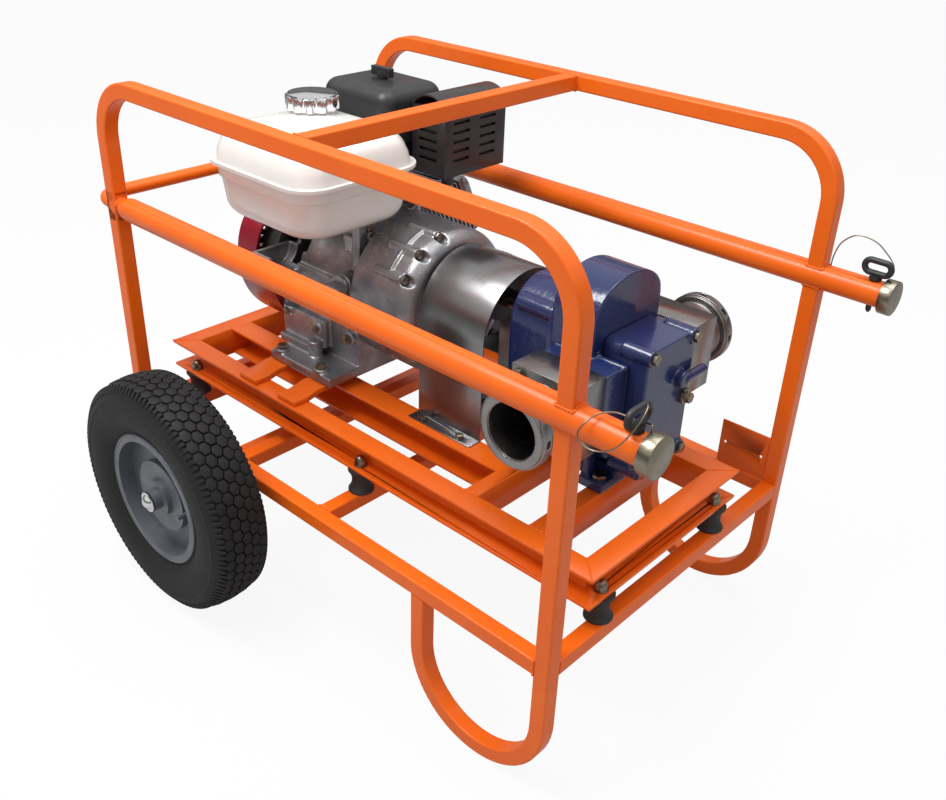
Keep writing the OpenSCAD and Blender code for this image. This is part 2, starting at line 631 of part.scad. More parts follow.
fan_x = -165;
fan_flange = 3;
module fan_housing() color([0.62, 0.03, 0.08]) place() difference() {
  along_x(fan_x, shaft_y, crank_z) {
    cylinder(h = case_x[0] - fan_x, r = 132, $fn = 128);
    translate([0, 0, -6]) cylinder(h = 7, r = 126, $fn = 128);
  }
  along_x(fan_x + 3, shaft_y, crank_z)
    cylinder(h = case_x[0] - fan_flange - fan_x - 3, r = 128, $fn = 128);
  along_x(case_x[0] - 10, shaft_y, crank_z) cylinder(h = 20, r = case_r, $fn = 96);
  along_x(fan_x - 10, shaft_y, crank_z) cylinder(h = 20, r = 88, $fn = 96);
  along_x(fan_x + 50, starter_at[0], starter_at[1]) cylinder(h = 60, r = 46);
}
module recoil_cover() color([0.62, 0.03, 0.08]) place() {
  difference() {
    along_x(fan_x - 28, shaft_y, crank_z) {
      cylinder(h = 22, r = 112, $fn = 128);
      translate([0, 0, -8]) cylinder(h = 9, r = 96, $fn = 128);
    }
    along_x(fan_x - 26, shaft_y, crank_z) cylinder(h = 30, r = 104, $fn = 128);
    for (i = [0 : 23]) along_x(fan_x - 40, shaft_y, crank_z) rotate(i * 15)
      translate([52, -2.5, 0]) cube([32, 5, 20]);
    along_x(fan_x - 40, shaft_y, crank_z + 78) cylinder(h = 20, r = 5);
  }
}
grip_x = fan_x - 36;
grip_gap = 0.3;
module starter_grip() color([0.08, 0.08, 0.08]) place() {
  translate([grip_x - 16 - grip_gap, shaft_y - 22, crank_z + 70]) cube([16, 44, 16]);
  along_x(grip_x - 2, shaft_y, crank_z + 78) cylinder(h = 56, r = 3);
}

// Fuel tank: two pressed halves joined at a flange
module tank_half(top) hull() for (x = [0, 1], y = [0, 1]) {
  r = 38;
  translate([tank_x[x] + (x == 0 ? r : -r), tank_y[y] + (y == 0 ? r : -r), tank_seam - (top ? 1 : 0)])
    cylinder(h = 1, r = r, $fn = 32);
  translate([tank_x[x] + (x == 0 ? 1 : -1) * (top ? 50 : 56), tank_y[y] + (y == 0 ? 1 : -1) * (top ? 50 : 60),
    top ? tank_z[1] - 30 : tank_z[0] + 36]) sphere(r = top ? 30 : 36, $fn = 32);
}
module fuel_tank() color([0.93, 0.92, 0.88]) place() {
  tank_half(true);
  tank_half(false);
  translate([(tank_x[0] + tank_x[1]) / 2, (tank_y[0] + tank_y[1]) / 2, tank_seam - 3])
    linear_extrude(5) rounded(tank_x[1] - tank_x[0] + 14, tank_y[1] - tank_y[0] + 14, 45);
  translate([cap_at[0], cap_at[1], tank_z[1] - 7]) cylinder(h = 9, r = 34);
}
module fuel_cap() color([0.85, 0.85, 0.86]) place()
  translate([cap_at[0], cap_at[1], tank_z[1] + 2.5]) difference() {
  union() {
    cylinder(h = 20, r = 42, $fn = 96);
    translate([0, 0, 19]) cylinder(h = 4, r = 38, $fn = 96);
  }
  for (i = [0 : 11]) rotate(i * 30) translate([47, 0, -1]) cylinder(h = 30, r = 9, $fn = 32);
}

module air_cleaner() color([0.1, 0.1, 0.11]) place() {
  hull() for (x = [-68, 44], y = [50, 140]) {
    translate([x, y, foot_z + 417]) sphere(r = 24, $fn = 32);
    translate([x, y, foot_z + 355]) cylinder(h = 10, r = 26, $fn = 32);
  }
  translate([-88, 30, foot_z + 319]) cube([150, 130, 37]);
}
module air_cleaner_knob() color([0.1, 0.1, 0.1]) place() translate([-12, 95, foot_z + 441.4]) {
  cylinder(h = 12, r = 9);
  translate([-22, -5, 4]) cube([44, 10, 14]);
}
module carburettor() color([0.5, 0.5, 0.52]) place() {
  translate([-42, 104, foot_z + 261]) cube([44, 42, 58]);
  along_x(-60, 125, foot_z + 291) cylinder(h = 20, r = 16);
}

module muffler() color([0.3, 0.3, 0.3]) place() {
  difference() {
    translate([84, 86, foot_z + 319]) cube([60, 124, 88]);
    translate([86, 88, foot_z + 321]) cube([56, 120, 84]);
  }
  translate([89, 150, foot_z + 275]) cylinder(h = 44.5, r = 10.5);
}
guard_lo = [76, 78, foot_z + 311];
guard_hi = [150, 222, foot_z + 420];
module muffler_guard() color([0.1, 0.09, 0.1]) place() {
  difference() {
    translate(guard_lo) cube(guard_hi - guard_lo);
    translate(guard_lo + [2, 2, 2]) cube(guard_hi - guard_lo - [4, 4, 4]);
    for (i = [0 : 4], j = [0, 1]) translate([guard_hi[0] - 10, 98 + j * 62, guard_lo[2] + 24 + i * 15])
      cube([20, 38, 5]);
    for (i = [0 : 4]) translate([92, guard_lo[1] - 10, guard_lo[2] + 24 + i * 15]) cube([40, 20, 5]);
    translate([89, 150, guard_lo[2] - 1]) cylinder(h = 4, r = 11.5);
  }
  along_y(114, guard_lo[1], foot_z + 390) linear_extrude(guard_hi[1] - guard_lo[1]) intersection() {
    difference() {
      circle(50, $fn = 96);
      circle(47, $fn = 96);
    }
    translate([-80, -80]) square([160, 50]);
  }
}

module crankshaft() color("silver") place() {
  along_x(-158, shaft_y, crank_z) {
    cylinder(h = 150, r = 17.5);
    translate([0, 0, 158 + 60]) cylinder(h = gear_x[0] - 62, r = 17.5);
    translate([0, 0, 158 + gear_x[0] - 3]) cylinder(h = gear_x[1] - gear_x[0] + 17, r = 15);
    translate([0, 0, gear_x[0] + 158]) linear_extrude(gear_x[1] - gear_x[0])
      polygon(gear_outline(pinion_teeth, gear_module));
  }
  for (x = [-8, 42]) along_x(x, shaft_y, crank_z) linear_extrude(18) {
    circle(28);
    translate([-30, -58]) square([60, 58]);
    translate([-20, 0]) square([40, 44]);
  }
  along_x(0, shaft_y, crank_z + 32) cylinder(h = 50, r = 16);
}
module flywheel() color([0.4, 0.4, 0.42]) place() difference() {
  along_x(-140, shaft_y, crank_z) {
    translate([0, 0, 10]) cylinder(h = 40, r = 108, $fn = 96);
    for (i = [0 : 15]) rotate(i * 22.5) translate([60, -1.5, 0]) cube([46, 3, 11]);
  }
  along_x(-145, shaft_y, crank_z) cylinder(h = 80, r = 17.5);
  along_x(-112, shaft_y, crank_z) cylinder(h = 30, r = 88, $fn = 96);
}
module output_shaft() color("silver") place() {
  along_x(138, shaft_y, drive_z) cylinder(h = jaw_x + 10 - 138, d = output_d);
  along_x(gear_x[0], shaft_y, drive_z) linear_extrude(gear_x[1] - gear_x[0])
    polygon(gear_outline(output_teeth, gear_module));
}

module oil_cap() color([0.55, 0.55, 0.56]) place() translate([96, shaft_y - case_r - 13.5, crank_z + 28])
  rotate([90, 0, 0]) {
  cylinder(h = 6, r = 19);
  translate([-16, -5, 5]) cube([32, 10, 16]);
}
module throttle_lever() color([0.5, 0.5, 0.52]) place() translate(lever_at)
  linear_extrude(3) difference() {
    union() {
      circle(9);
      rotate(-60) {
        translate([0, -5]) square([42, 10]);
        translate([42, 0]) circle(5);
      }
    }
    circle(2);
  }

module engine_bolts() color("silver") place() {
  for (x = bolt_x, y = bolt_y) translate([x, y, foot_z + foot_t + 6]) hex_bolt(10, 30);
  for (a = hood_boss_turn) along_x(hood_boss_x[1], shaft_y, drum_z) rotate(a)
    translate([drum_r - 2, 0]) hex_bolt(8, 0);
  for (p = panel_bolts) translate([p[0], shaft_y - case_r - 17, crank_z + p[1]]) rotate([90, 0, 0])
    hex_bolt(7, 0);
  translate([106, shaft_y - case_r - 12, crank_z - 64]) rotate([90, 0, 0]) hex_bolt(10, 0);
  for (p = shelf_bolts) translate([p[0], p[1], crank_z + 108]) hex_bolt(8, 0);
}

// ---------- drive line ----------
hub_r = 40;
hub_start = 252;
jaw_x = 286;
jaw_len = 14;
hub_end = 340;
jaw_inner = 19;
module jaws(turn) for (i = [0 : 2]) rotate(turn + i * 120) difference() {
  intersection() {
    circle(hub_r, $fn = 96);
    polygon([[0, 0], [80 * cos(24), -80 * sin(24)], [80 * cos(24), 80 * sin(24)]]);
  }
  circle(jaw_inner);
}
module hub_ring(x, len, bore) along_x(x, shaft_y, drive_z) linear_extrude(len) difference() {
  circle(hub_r, $fn = 96);
  circle(bore);
}
module coupling_hubs() color([0.35, 0.36, 0.38]) place() {
  hub_ring(hub_start, jaw_x - hub_start, output_d / 2);
  along_x(jaw_x, shaft_y, drive_z) linear_extrude(jaw_len) jaws(0);
  hub_ring(jaw_x + jaw_len, hub_end - jaw_x - jaw_len, shaft_d / 2);
  along_x(jaw_x, shaft_y, drive_z) linear_extrude(jaw_len) jaws(60);
}
module coupling_spider() color([0.7, 0.1, 0.1]) place()
  along_x(jaw_x + 1, shaft_y, drive_z) linear_extrude(jaw_len - 2) difference() {
    circle(hub_r - 2, $fn = 96);
    circle(output_d / 2 + 1);
    for (turn = [0, 60]) for (i = [0 : 2]) rotate(turn + i * 120) difference() {
      polygon([[0, 0], [80 * cos(24), -80 * sin(24)], [80 * cos(24), 80 * sin(24)]]);
      circle(jaw_inner - 0.5);
    }
  }

// Arched guard over the coupling, with a foot down each side
guard_x = [245, 385];
guard_r = 97;
guard_z = drive_z - 39;
guard_t = 2;
guard_foot = 24;
// Arched sheet on two turned-out feet, bent from one strip
module guard_outline() difference() {
  union() {
    translate([shaft_y, guard_z]) circle(guard_r, $fn = 128);
    translate([shaft_y - guard_r, base_top]) square([2 * guard_r, guard_z - base_top]);
    translate([shaft_y - guard_r - guard_foot, base_top])
      square([2 * (guard_r + guard_foot), guard_t]);
  }
  translate([shaft_y, guard_z]) circle(guard_r - guard_t, $fn = 128);
  translate([shaft_y - guard_r + guard_t, base_top - 1])
    square([2 * (guard_r - guard_t), guard_z - base_top + 1]);
}
module coupling_guard() color([0.82, 0.83, 0.84]) place() difference() {
  along_x(guard_x[0] + 7, 0, 0) linear_extrude(guard_x[1] - guard_x[0] - 7) guard_outline();
  for (x = [275, 355], s = [-1, 1]) translate([x, shaft_y + s * (guard_r + 13), base_top - 1])
    cylinder(h = 5, r = 4.2);
}

// ---------- pump ----------
module gear_housing() color([0.1, 0.12, 0.38]) place() {
  difference() {
    union() {
      along_x(404, 0, 0) linear_extrude(80) obround(shaft_y, lower_z, drive_z, 62);
      along_x(478, 0, 0) linear_extrude(12) obround(shaft_y, lower_z, drive_z, case_half - 4);
      along_x(392, shaft_y, drive_z) cylinder(h = 20, r = 34);
      for (s = [-1, 1], z = [lower_z - 34, drive_z + 34]) along_x(414, shaft_y + s * 52, z)
        cylinder(h = 66, r = 13);
      translate([member_x[0], shaft_y - 70, base_top]) cube([30, 140, 16]);
      translate([member_x[0] + 4, shaft_y - 36, base_top]) cube([22, 72, 60]);
    }
    along_x(412, 0, 0) linear_extrude(66) obround(shaft_y, lower_z, drive_z, 54);
    along_x(380, shaft_y, drive_z) cylinder(h = 120, r = shaft_d / 2 + 0.6);
    along_x(408, shaft_y, lower_z) cylinder(h = 90, r = shaft_d / 2 + 0.6);
    for (z = [lower_z, drive_z]) along_x(481, shaft_y, z) cylinder(h = 10, r = 21);
    for (s = [-1, 1]) translate([member_x[0] + tube / 2, shaft_y + s * pump_bolt_y[0], base_top - 1])
      cylinder(h = 30, r = pump_hole_r);
  }
}

module rotor_case() color([0.1, 0.12, 0.38]) place() difference() {
  union() {
    along_x(chamber_x[0], 0, 0) linear_extrude(75) obround(shaft_y, lower_z, dome_z, case_half);
    for (y = [[shaft_y - 108, cover_y[0] - 1], [cover_y[1] + 1, shaft_y + 108]])
      translate([500, y[0], port_z - block_half + 2]) cube([112, y[1] - y[0], 2 * block_half - 4]);
    translate([500, shaft_y - 60, base_top + 10]) cube([62, 120, 40]);
    translate([560, shaft_y - 76, base_top]) cube([42, 152, 16]);
    translate([560, shaft_y - 44, base_top]) cube([42, 88, 32]);
    for (y = [cover_y[0] - 17, cover_y[1] + 1]) translate([560, y, base_top]) cube([14, 16, 98]);
  }
  for (s = [-1, 1]) translate([member_x[1] + tube / 2, shaft_y + s * pump_bolt_y[1], base_top - 1])
    cylinder(h = 30, r = pump_hole_r);
  along_x(chamber_x[0] - 1, 0, 0) linear_extrude(chamber_x[1] - chamber_x[0] + 1)
    obround(shaft_y, lower_z, drive_z, chamber_r);
  for (s = [-1, 1]) {
    along_y(pump_x, s < 0 ? shaft_y - 110 : cover_y[1] + 10, port_z)
      cylinder(h = s < 0 ? 44 : shaft_y + 100 - cover_y[1], r = passage_r);
    translate([pump_x - passage_r, shaft_y + (s < 0 ? -90 : 40), port_z - 32])
      cube([chamber_x[1] - pump_x + passage_r, 50, 64]);
  }
  for (z = [lower_z, drive_z]) along_x(500, shaft_y, z) cylinder(h = 80, r = 21);
}

module front_cover() color([0.1, 0.12, 0.38]) place() difference() {
  union() {
    along_x(cover_x[0], (cover_y[0] + cover_y[1]) / 2, (cover_z[0] + cover_z[1]) / 2)
      linear_extrude(cover_x[1] - cover_x[0])
        rounded(cover_y[1] - cover_y[0], cover_z[1] - cover_z[0], cover_r);
    for (y = [cover_y[0] + 7, cover_y[1] - 7], z = [cover_z[0] + 7, cover_z[1] - 7])
      along_x(cover_x[0] + 30, y, z) cylinder(h = cover_x[1] - cover_x[0] - 26, r = 12);
    along_x(cover_x[1] - 2, 46, drive_z - 32) cylinder(h = 16, r = 13);
    along_y(cover_x[1] + 10, 46, drive_z - 32) cylinder(h = 52, r = 7);
  }
  for (z = [lower_z, drive_z]) along_x(cover_x[0] - 1, shaft_y, z) {
    cylinder(h = 56, r = 26);
    cylinder(h = 64, r = 18);
  }
}

module drive_shaft() color("silver") place() along_x(0, shaft_y, drive_z) {
  translate([0, 0, jaw_x + jaw_len + 1]) cylinder(h = 622 - jaw_x - jaw_len - 1, d = shaft_d);
}
module driven_shaft() color("silver") place()
  along_x(418, shaft_y, lower_z) cylinder(h = 204, r = shaft_d / 2);

module timing_gear(z, turn) along_x(424, shaft_y, z) rotate(turn) linear_extrude(26) difference() {
  polygon(gear_outline(timing_teeth, timing_module));
  circle(shaft_d / 2);
}
module timing_gear_drive() color("gray") place() timing_gear(drive_z, 0);
module timing_gear_driven() color("gray") place() timing_gear(lower_z, 180 / timing_teeth);

module rotor(z) along_x(chamber_x[0] + 1, shaft_y, z) linear_extrude(rotor_len) difference() {
  polygon(lobe_outline(2));
  circle(shaft_d / 2);
}
module rotor_drive() color([0.75, 0.75, 0.73]) place() rotor(drive_z);
module rotor_driven() color([0.75, 0.75, 0.73]) place() rotor(lower_z);

module port_blocks() color([0.8, 0.8, 0.8]) place() for (s = [-1, 1])
  translate([0, shaft_y, 0]) side(s) difference() {
    union() {
      translate([pump_x - block_half, -166, port_z - block_half]) cube([2 * block_half, 58, 2 * block_half]);
      along_y(pump_x, -206, port_z) cylinder(h = 41, r = 45);
      along_y(pump_x, -229, port_z) cylinder(h = 24, r = 46);
    }
    along_y(pump_x, -240, port_z) cylinder(h = 150, r = port_bore / 2);
  }
module port_nuts() color([0.85, 0.85, 0.85]) place() for (s = [-1, 1])
  translate([0, shaft_y, 0]) side(s) along_y(pump_x, -231, port_z) difference() {
    union() {
      cylinder(h = 22, r = 53, $fn = 96);
      translate([0, 0, 4]) cylinder(h = 14, r = 56, $fn = 96);
    }
    translate([0, 0, -1]) cylinder(h = 3, r = port_bore / 2 + 1);
    translate([0, 0, 2 - eps]) cylinder(h = 30, r = 46);
    for (a = [0 : 45 : 315]) rotate(a) translate([50, -6, 7]) cube([12, 12, 8]);
  }

module pump_bolts() color("silver") place() {
  for (s = [-1, 1]) {
    translate([member_x[1] + tube / 2, shaft_y + s * pump_bolt_y[1], base_top + 16]) hex_bolt(12, 30);
    translate([member_x[0] + tube / 2, shaft_y + s * pump_bolt_y[0], base_top + 16]) hex_bolt(12, 30);
    for (x = [-44, 44], z = [-44, 44]) translate([pump_x + x, shaft_y + s * 166, port_z + z])
      rotate([s * -90, 0, 0]) hex_bolt(10, 0);
  }
  for (y = [cover_y[0] + 7, cover_y[1] - 7], z = [cover_z[0] + 7, cover_z[1] - 7])
    along_x(cover_x[1] + 4, y, z) hex_bolt(9, 0);
  along_x(cover_x[1], 68, lower_z + 30) { cylinder(h = 6, r = 12); cylinder(h = 14, d = 16, $fn = 6); }
  for (x = [275, 355], s = [-1, 1]) translate([x, shaft_y + s * (guard_r + 13), base_top + guard_t])
    hex_bolt(8, 0);
}

module shaft_bearings() color("silver") place() {
  for (z = [lower_z, drive_z]) {
    ring_x(cover_x[0] + 30, shaft_y, z, 26, shaft_d / 2 + 0.05, 18);
    ring_x(481, shaft_y, z, 21, shaft_d / 2 + 0.05, 9);
    ring_x(cover_x[0] - 14, shaft_y, z, 21, shaft_d / 2 + 0.05, 12);
  }
}

side_hoop_left();
side_hoop_right();
push_rail();
rear_bar();
lower_rails();
cross_bars();
corner_plate();
axle_beam();
axle();
hub_caps();
base_channels();
base_members();
isolators();
isolator_nuts();
tyre_left();
tyre_right();
rim_left();
rim_right();
handle_left();
handle_right();
pull_pin_left();
pull_pin_right();
lanyard_left();
lanyard_right();
crankcase();
reduction_case();
cylinder_node();  // cylinder
rocker_cover();
fan_housing();
recoil_cover();
starter_grip();
fuel_tank();
fuel_cap();
air_cleaner();
air_cleaner_knob();
carburettor();
muffler();
muffler_guard();
crankshaft();
flywheel();
output_shaft();
oil_cap();
throttle_lever();
engine_bolts();
coupling_hubs();
coupling_spider();
coupling_guard();
gear_housing();
rotor_case();
front_cover();
drive_shaft();
driven_shaft();
timing_gear_drive();
timing_gear_driven();
rotor_drive();
rotor_driven();
port_blocks();
port_nuts();
pump_bolts();
shaft_bearings();
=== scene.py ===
# %% [markdown]
# # A rotary lobe pump on its trolley
# The pump, its petrol engine and the orange tube trolley come in as finished solids, one for each part.
# This script dresses them: it sets the view and the light, mixes a finish for each material, rounds
# the castings, and adds what the solids leave out, such as weld beads and the tyres' tread. Everything
# stands in the same frame as the solids, in metres.

# %% Loading the solids
import bpy
import bmesh
import math
from mathutils import Matrix, Vector


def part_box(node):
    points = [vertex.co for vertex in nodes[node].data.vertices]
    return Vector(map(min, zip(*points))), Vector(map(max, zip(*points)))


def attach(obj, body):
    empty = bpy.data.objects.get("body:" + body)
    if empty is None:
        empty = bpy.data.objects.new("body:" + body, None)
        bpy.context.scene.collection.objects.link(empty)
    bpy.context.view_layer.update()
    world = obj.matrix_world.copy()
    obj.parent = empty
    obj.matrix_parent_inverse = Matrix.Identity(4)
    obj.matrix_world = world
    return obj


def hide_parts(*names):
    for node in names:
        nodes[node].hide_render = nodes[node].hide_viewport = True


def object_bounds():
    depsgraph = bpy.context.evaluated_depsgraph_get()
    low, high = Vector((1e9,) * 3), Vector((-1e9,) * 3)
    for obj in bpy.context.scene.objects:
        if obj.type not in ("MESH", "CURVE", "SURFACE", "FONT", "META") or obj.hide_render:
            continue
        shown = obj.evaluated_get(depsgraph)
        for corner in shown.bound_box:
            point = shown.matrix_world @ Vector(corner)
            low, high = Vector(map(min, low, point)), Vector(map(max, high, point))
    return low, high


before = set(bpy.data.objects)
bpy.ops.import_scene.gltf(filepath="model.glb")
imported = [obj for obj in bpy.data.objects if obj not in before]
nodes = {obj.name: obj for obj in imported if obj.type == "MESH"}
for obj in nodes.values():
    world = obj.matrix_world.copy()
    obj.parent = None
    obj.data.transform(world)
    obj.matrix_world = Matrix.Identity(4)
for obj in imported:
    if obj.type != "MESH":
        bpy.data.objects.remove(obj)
solids_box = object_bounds()
scene = bpy.context.scene
scene.view_settings.view_transform = "Standard"


# %% [markdown]
# Most places are easiest to think of from the wheels' axle, in millimetres: x forwards, y across and
# z up from the floor. One small function turns such a place into the frame's metres. The axle's own
# solid says where it lies, so nothing has to be typed twice.

# %% Places counted from the axle
axle_low, axle_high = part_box("axle")
AXLE_X = (axle_low.x + axle_high.x) / 2


def at(x, y, z):
    return Vector((AXLE_X + x / 1000, y / 1000, z / 1000))


def mm(length):
    return length / 1000


print("axle at x =", round(AXLE_X, 4))

# %% [markdown]
# ## The camera
# A long object looks natural from a little above its corner. The camera stands 1.9 m away with a
# 39 mm lens. Its three axes are written out as a rotation: turn about the vertical, tip downwards,
# then roll a little, as a hand-held camera does.

# %% Setting the camera
TURN, TIP, ROLL = math.radians(41.775), math.radians(29.865), math.radians(2.179)
right = Vector((math.cos(TURN), math.sin(TURN), 0))
ahead = Vector((-math.sin(TURN) * math.cos(TIP), math.cos(TURN) * math.cos(TIP), -math.sin(TIP)))
above = right.cross(ahead)
image_right = math.cos(ROLL) * right + math.sin(ROLL) * above
image_up = math.cos(ROLL) * above - math.sin(ROLL) * right
camera_data = bpy.data.cameras.new("camera")
camera_data.sensor_width = 36
camera_data.lens = 39.06
camera = bpy.data.objects.new("camera", camera_data)
turn = Matrix((image_right, image_up, -ahead)).transposed().to_4x4()
camera.matrix_world = Matrix.Translation(at(1268.8, -1084.1, 1174.7)) @ turn
scene.collection.objects.link(camera)
scene.camera = camera
print("camera at", tuple(round(c, 3) for c in camera.location))

# %% [markdown]
# ## Light, floor and background
# A plain studio: a world that the camera sees as clean white, two broad soft lamps overhead, and a
# floor that keeps the trolley's soft shadow. Light Path tells the world what kind of ray asks, so metal
# mirrors a room with light and dark bands while the paint is lit at a lower, even level.

# %% The room that the camera sees, and the fill that lights the object
world = bpy.data.worlds.new("studio")
scene.world = world
world.use_nodes = True
wt = world.node_tree
wt.nodes.clear()
world_out = wt.nodes.new("ShaderNodeOutputWorld")
path = wt.nodes.new("ShaderNodeLightPath")
seen = wt.nodes.new("ShaderNodeMath")
seen.operation = "MAXIMUM"
wt.links.new(path.outputs["Is Camera Ray"], seen.inputs[0])
wt.links.new(path.outputs["Is Transmission Ray"], seen.inputs[1])
room = wt.nodes.new("ShaderNodeBackground")
room.inputs["Color"].default_value = (1, 1, 1, 1)
room.inputs["Strength"].default_value = 1.0
fill = wt.nodes.new("ShaderNodeBackground")
fill.inputs["Strength"].default_value = 0.80
mix = wt.nodes.new("ShaderNodeMixShader")
wt.links.new(seen.outputs[0], mix.inputs[0])
wt.links.new(fill.outputs[0], mix.inputs[1])
wt.links.new(room.outputs[0], mix.inputs[2])
wt.links.new(mix.outputs[0], world_out.inputs["Surface"])

# %% The fill falls off towards the floor
direction = wt.nodes.new("ShaderNodeTexCoord")
split = wt.nodes.new("ShaderNodeSeparateXYZ")
heights = wt.nodes.new("ShaderNodeValToRGB")
heights.color_ramp.elements[0].position = 0.30
heights.color_ramp.elements[0].color = (0.42, 0.42, 0.42, 1)
heights.color_ramp.elements[1].position = 0.80
heights.color_ramp.elements[1].color = (1, 1, 1, 1)
raise_z = wt.nodes.new("ShaderNodeMapRange")
raise_z.inputs["From Min"].default_value = -1
wt.links.new(direction.outputs["Generated"], split.inputs[0])
wt.links.new(split.outputs["Z"], raise_z.inputs["Value"])
wt.links.new(raise_z.outputs["Result"], heights.inputs["Fac"])

# %% What a glossy surface mirrors: a lit ceiling and one pale band at eye level
mirrored = wt.nodes.new("ShaderNodeValToRGB")
bands = ((0.0, 0.02), (0.46, 0.05), (0.52, 0.34), (0.56, 0.12), (0.62, 0.18), (0.71, 0.90), (1.0, 1.0))
for i, (position, grey) in enumerate(bands):
    stop = mirrored.color_ramp.elements[i] if i < 2 else mirrored.color_ramp.elements.new(position)
    stop.position = position
    stop.color = (grey, grey, grey, 1)
by_ray = wt.nodes.new("ShaderNodeMix")
by_ray.data_type = "RGBA"
wt.links.new(raise_z.outputs["Result"], mirrored.inputs["Fac"])
wt.links.new(path.outputs["Is Glossy Ray"], by_ray.inputs["Factor"])
wt.links.new(heights.outputs["Color"], by_ray.inputs["A"])
wt.links.new(mirrored.outputs["Color"], by_ray.inputs["B"])
wt.links.new(by_ray.outputs["Result"], fill.inputs["Color"])


# %% Two soft lamps
def soft_lamp(name, place, aim, size, power):
    lamp = bpy.data.lights.new(name, "AREA")
    lamp.shape = "RECTANGLE"
    lamp.size, lamp.size_y = size
    lamp.energy = power
    holder = bpy.data.objects.new(name, lamp)
    holder.location = place
    holder.rotation_euler = (Vector(aim) - Vector(place)).to_track_quat("-Z", "Y").to_euler()
    scene.collection.objects.link(holder)
    return holder


soft_lamp("key_lamp", (-0.45, -0.95, 2.5), (-0.1, 0, 0.5), (1.2, 0.9), 44)
soft_lamp("top_lamp", (0.4, 0.5, 2.8), (0, 0, 0.3), (1.6, 1.6), 22)

# %% The floor
floor_mesh = bpy.data.meshes.new("floor")
reach = 30.0
floor_mesh.from_pydata([(-reach, -reach, 0), (reach, -reach, 0), (reach, reach, 0), (-reach, reach, 0)],
                       [], [(0, 1, 2, 3)])
floor = bpy.data.objects.new("floor", floor_mesh)
floor.location.z = min(corner[2] for corner in solids_box)
scene.collection.objects.link(floor)
floor_paint = bpy.data.materials.new("floor_paint")
floor_paint.use_nodes = True
ft = floor_paint.node_tree
matt = ft.nodes["Principled BSDF"]
matt.inputs["Base Color"].default_value = (0.45, 0.45, 0.45, 1)
matt.inputs["Roughness"].default_value = 0.9
clean = ft.nodes.new("ShaderNodeEmission")
clean.inputs["Strength"].default_value = 1.06
floor_path = ft.nodes.new("ShaderNodeLightPath")
share = ft.nodes.new("ShaderNodeMath")
share.operation = "MULTIPLY"
share.inputs[1].default_value = 0.86
blend = ft.nodes.new("ShaderNodeMixShader")
ft.links.new(floor_path.outputs["Is Camera Ray"], share.inputs[0])
ft.links.new(share.outputs[0], blend.inputs[0])
ft.links.new(matt.outputs[0], blend.inputs[1])
ft.links.new(clean.outputs[0], blend.inputs[2])
ft.links.new(blend.outputs[0], ft.nodes["Material Output"].inputs["Surface"])
floor_mesh.materials.append(floor_paint)

# %% [markdown]
# ## Shared surface effects
# Paint, castings and rubber differ, but they share a few effects: slow changes of tone over a surface,
# a fine bump, and the lines that a cutting tool leaves. Each effect is built once as a shader node
# group with named inputs, and every material then places the group with its own values.

# %% Shader node groups
def shader_group(name, inputs, outputs):
    group = bpy.data.node_groups.new(name, "ShaderNodeTree")
    for label, kind, value in inputs:
        socket = group.interface.new_socket(label, in_out="INPUT", socket_type=kind)
        socket.default_value = value
    for label, kind in outputs:
        group.interface.new_socket(label, in_out="OUTPUT", socket_type=kind)
    return group, group.nodes.new("NodeGroupInput"), group.nodes.new("NodeGroupOutput")


FLOAT, COLOUR, VECTOR = "NodeSocketFloat", "NodeSocketColor", "NodeSocketVector"


def build_tone():
    """Two colours mixed in soft clouds, and a roughness that wanders with them."""
    group, enter, leave = shader_group(
        "tone", [("Colour", COLOUR, (0.5, 0.5, 0.5, 1)), ("Worn colour", COLOUR, (0.4, 0.4, 0.4, 1)),
                 ("Cloud size", FLOAT, 20.0), ("Amount", FLOAT, 0.3),
                 ("Roughness", FLOAT, 0.4), ("Roughness swing", FLOAT, 0.1)],
        [("Colour", COLOUR), ("Roughness", FLOAT)])
    place = group.nodes.new("ShaderNodeTexCoord")
    cloud = group.nodes.new("ShaderNodeTexNoise")
    cloud.inputs["Detail"].default_value = 5
    cloud.inputs["Roughness"].default_value = 0.6
    spread = group.nodes.new("ShaderNodeMapRange")
    spread.inputs["From Min"].default_value = 0.35
    spread.inputs["From Max"].default_value = 0.65
    dose = group.nodes.new("ShaderNodeMath")
    dose.operation = "MULTIPLY"
    paint = group.nodes.new("ShaderNodeMix")
    paint.data_type = "RGBA"
    centred = group.nodes.new("ShaderNodeMath")
    centred.operation = "SUBTRACT"
    centred.inputs[1].default_value = 0.5
    swing = group.nodes.new("ShaderNodeMath")
    swing.operation = "MULTIPLY_ADD"
    link = group.links.new
    link(place.outputs["Object"], cloud.inputs["Vector"])
    link(enter.outputs["Cloud size"], cloud.inputs["Scale"])
    link(cloud.outputs["Fac"], spread.inputs["Value"])
    link(spread.outputs["Result"], dose.inputs[0])
    link(enter.outputs["Amount"], dose.inputs[1])
    link(dose.outputs[0], paint.inputs["Factor"])
    link(enter.outputs["Colour"], paint.inputs["A"])
    link(enter.outputs["Worn colour"], paint.inputs["B"])
    link(spread.outputs["Result"], centred.inputs[0])
    link(centred.outputs[0], swing.inputs[0])
    link(enter.outputs["Roughness swing"], swing.inputs[1])
    link(enter.outputs["Roughness"], swing.inputs[2])
    link(paint.outputs["Result"], leave.inputs["Colour"])
    link(swing.outputs[0], leave.inputs["Roughness"])
    return group


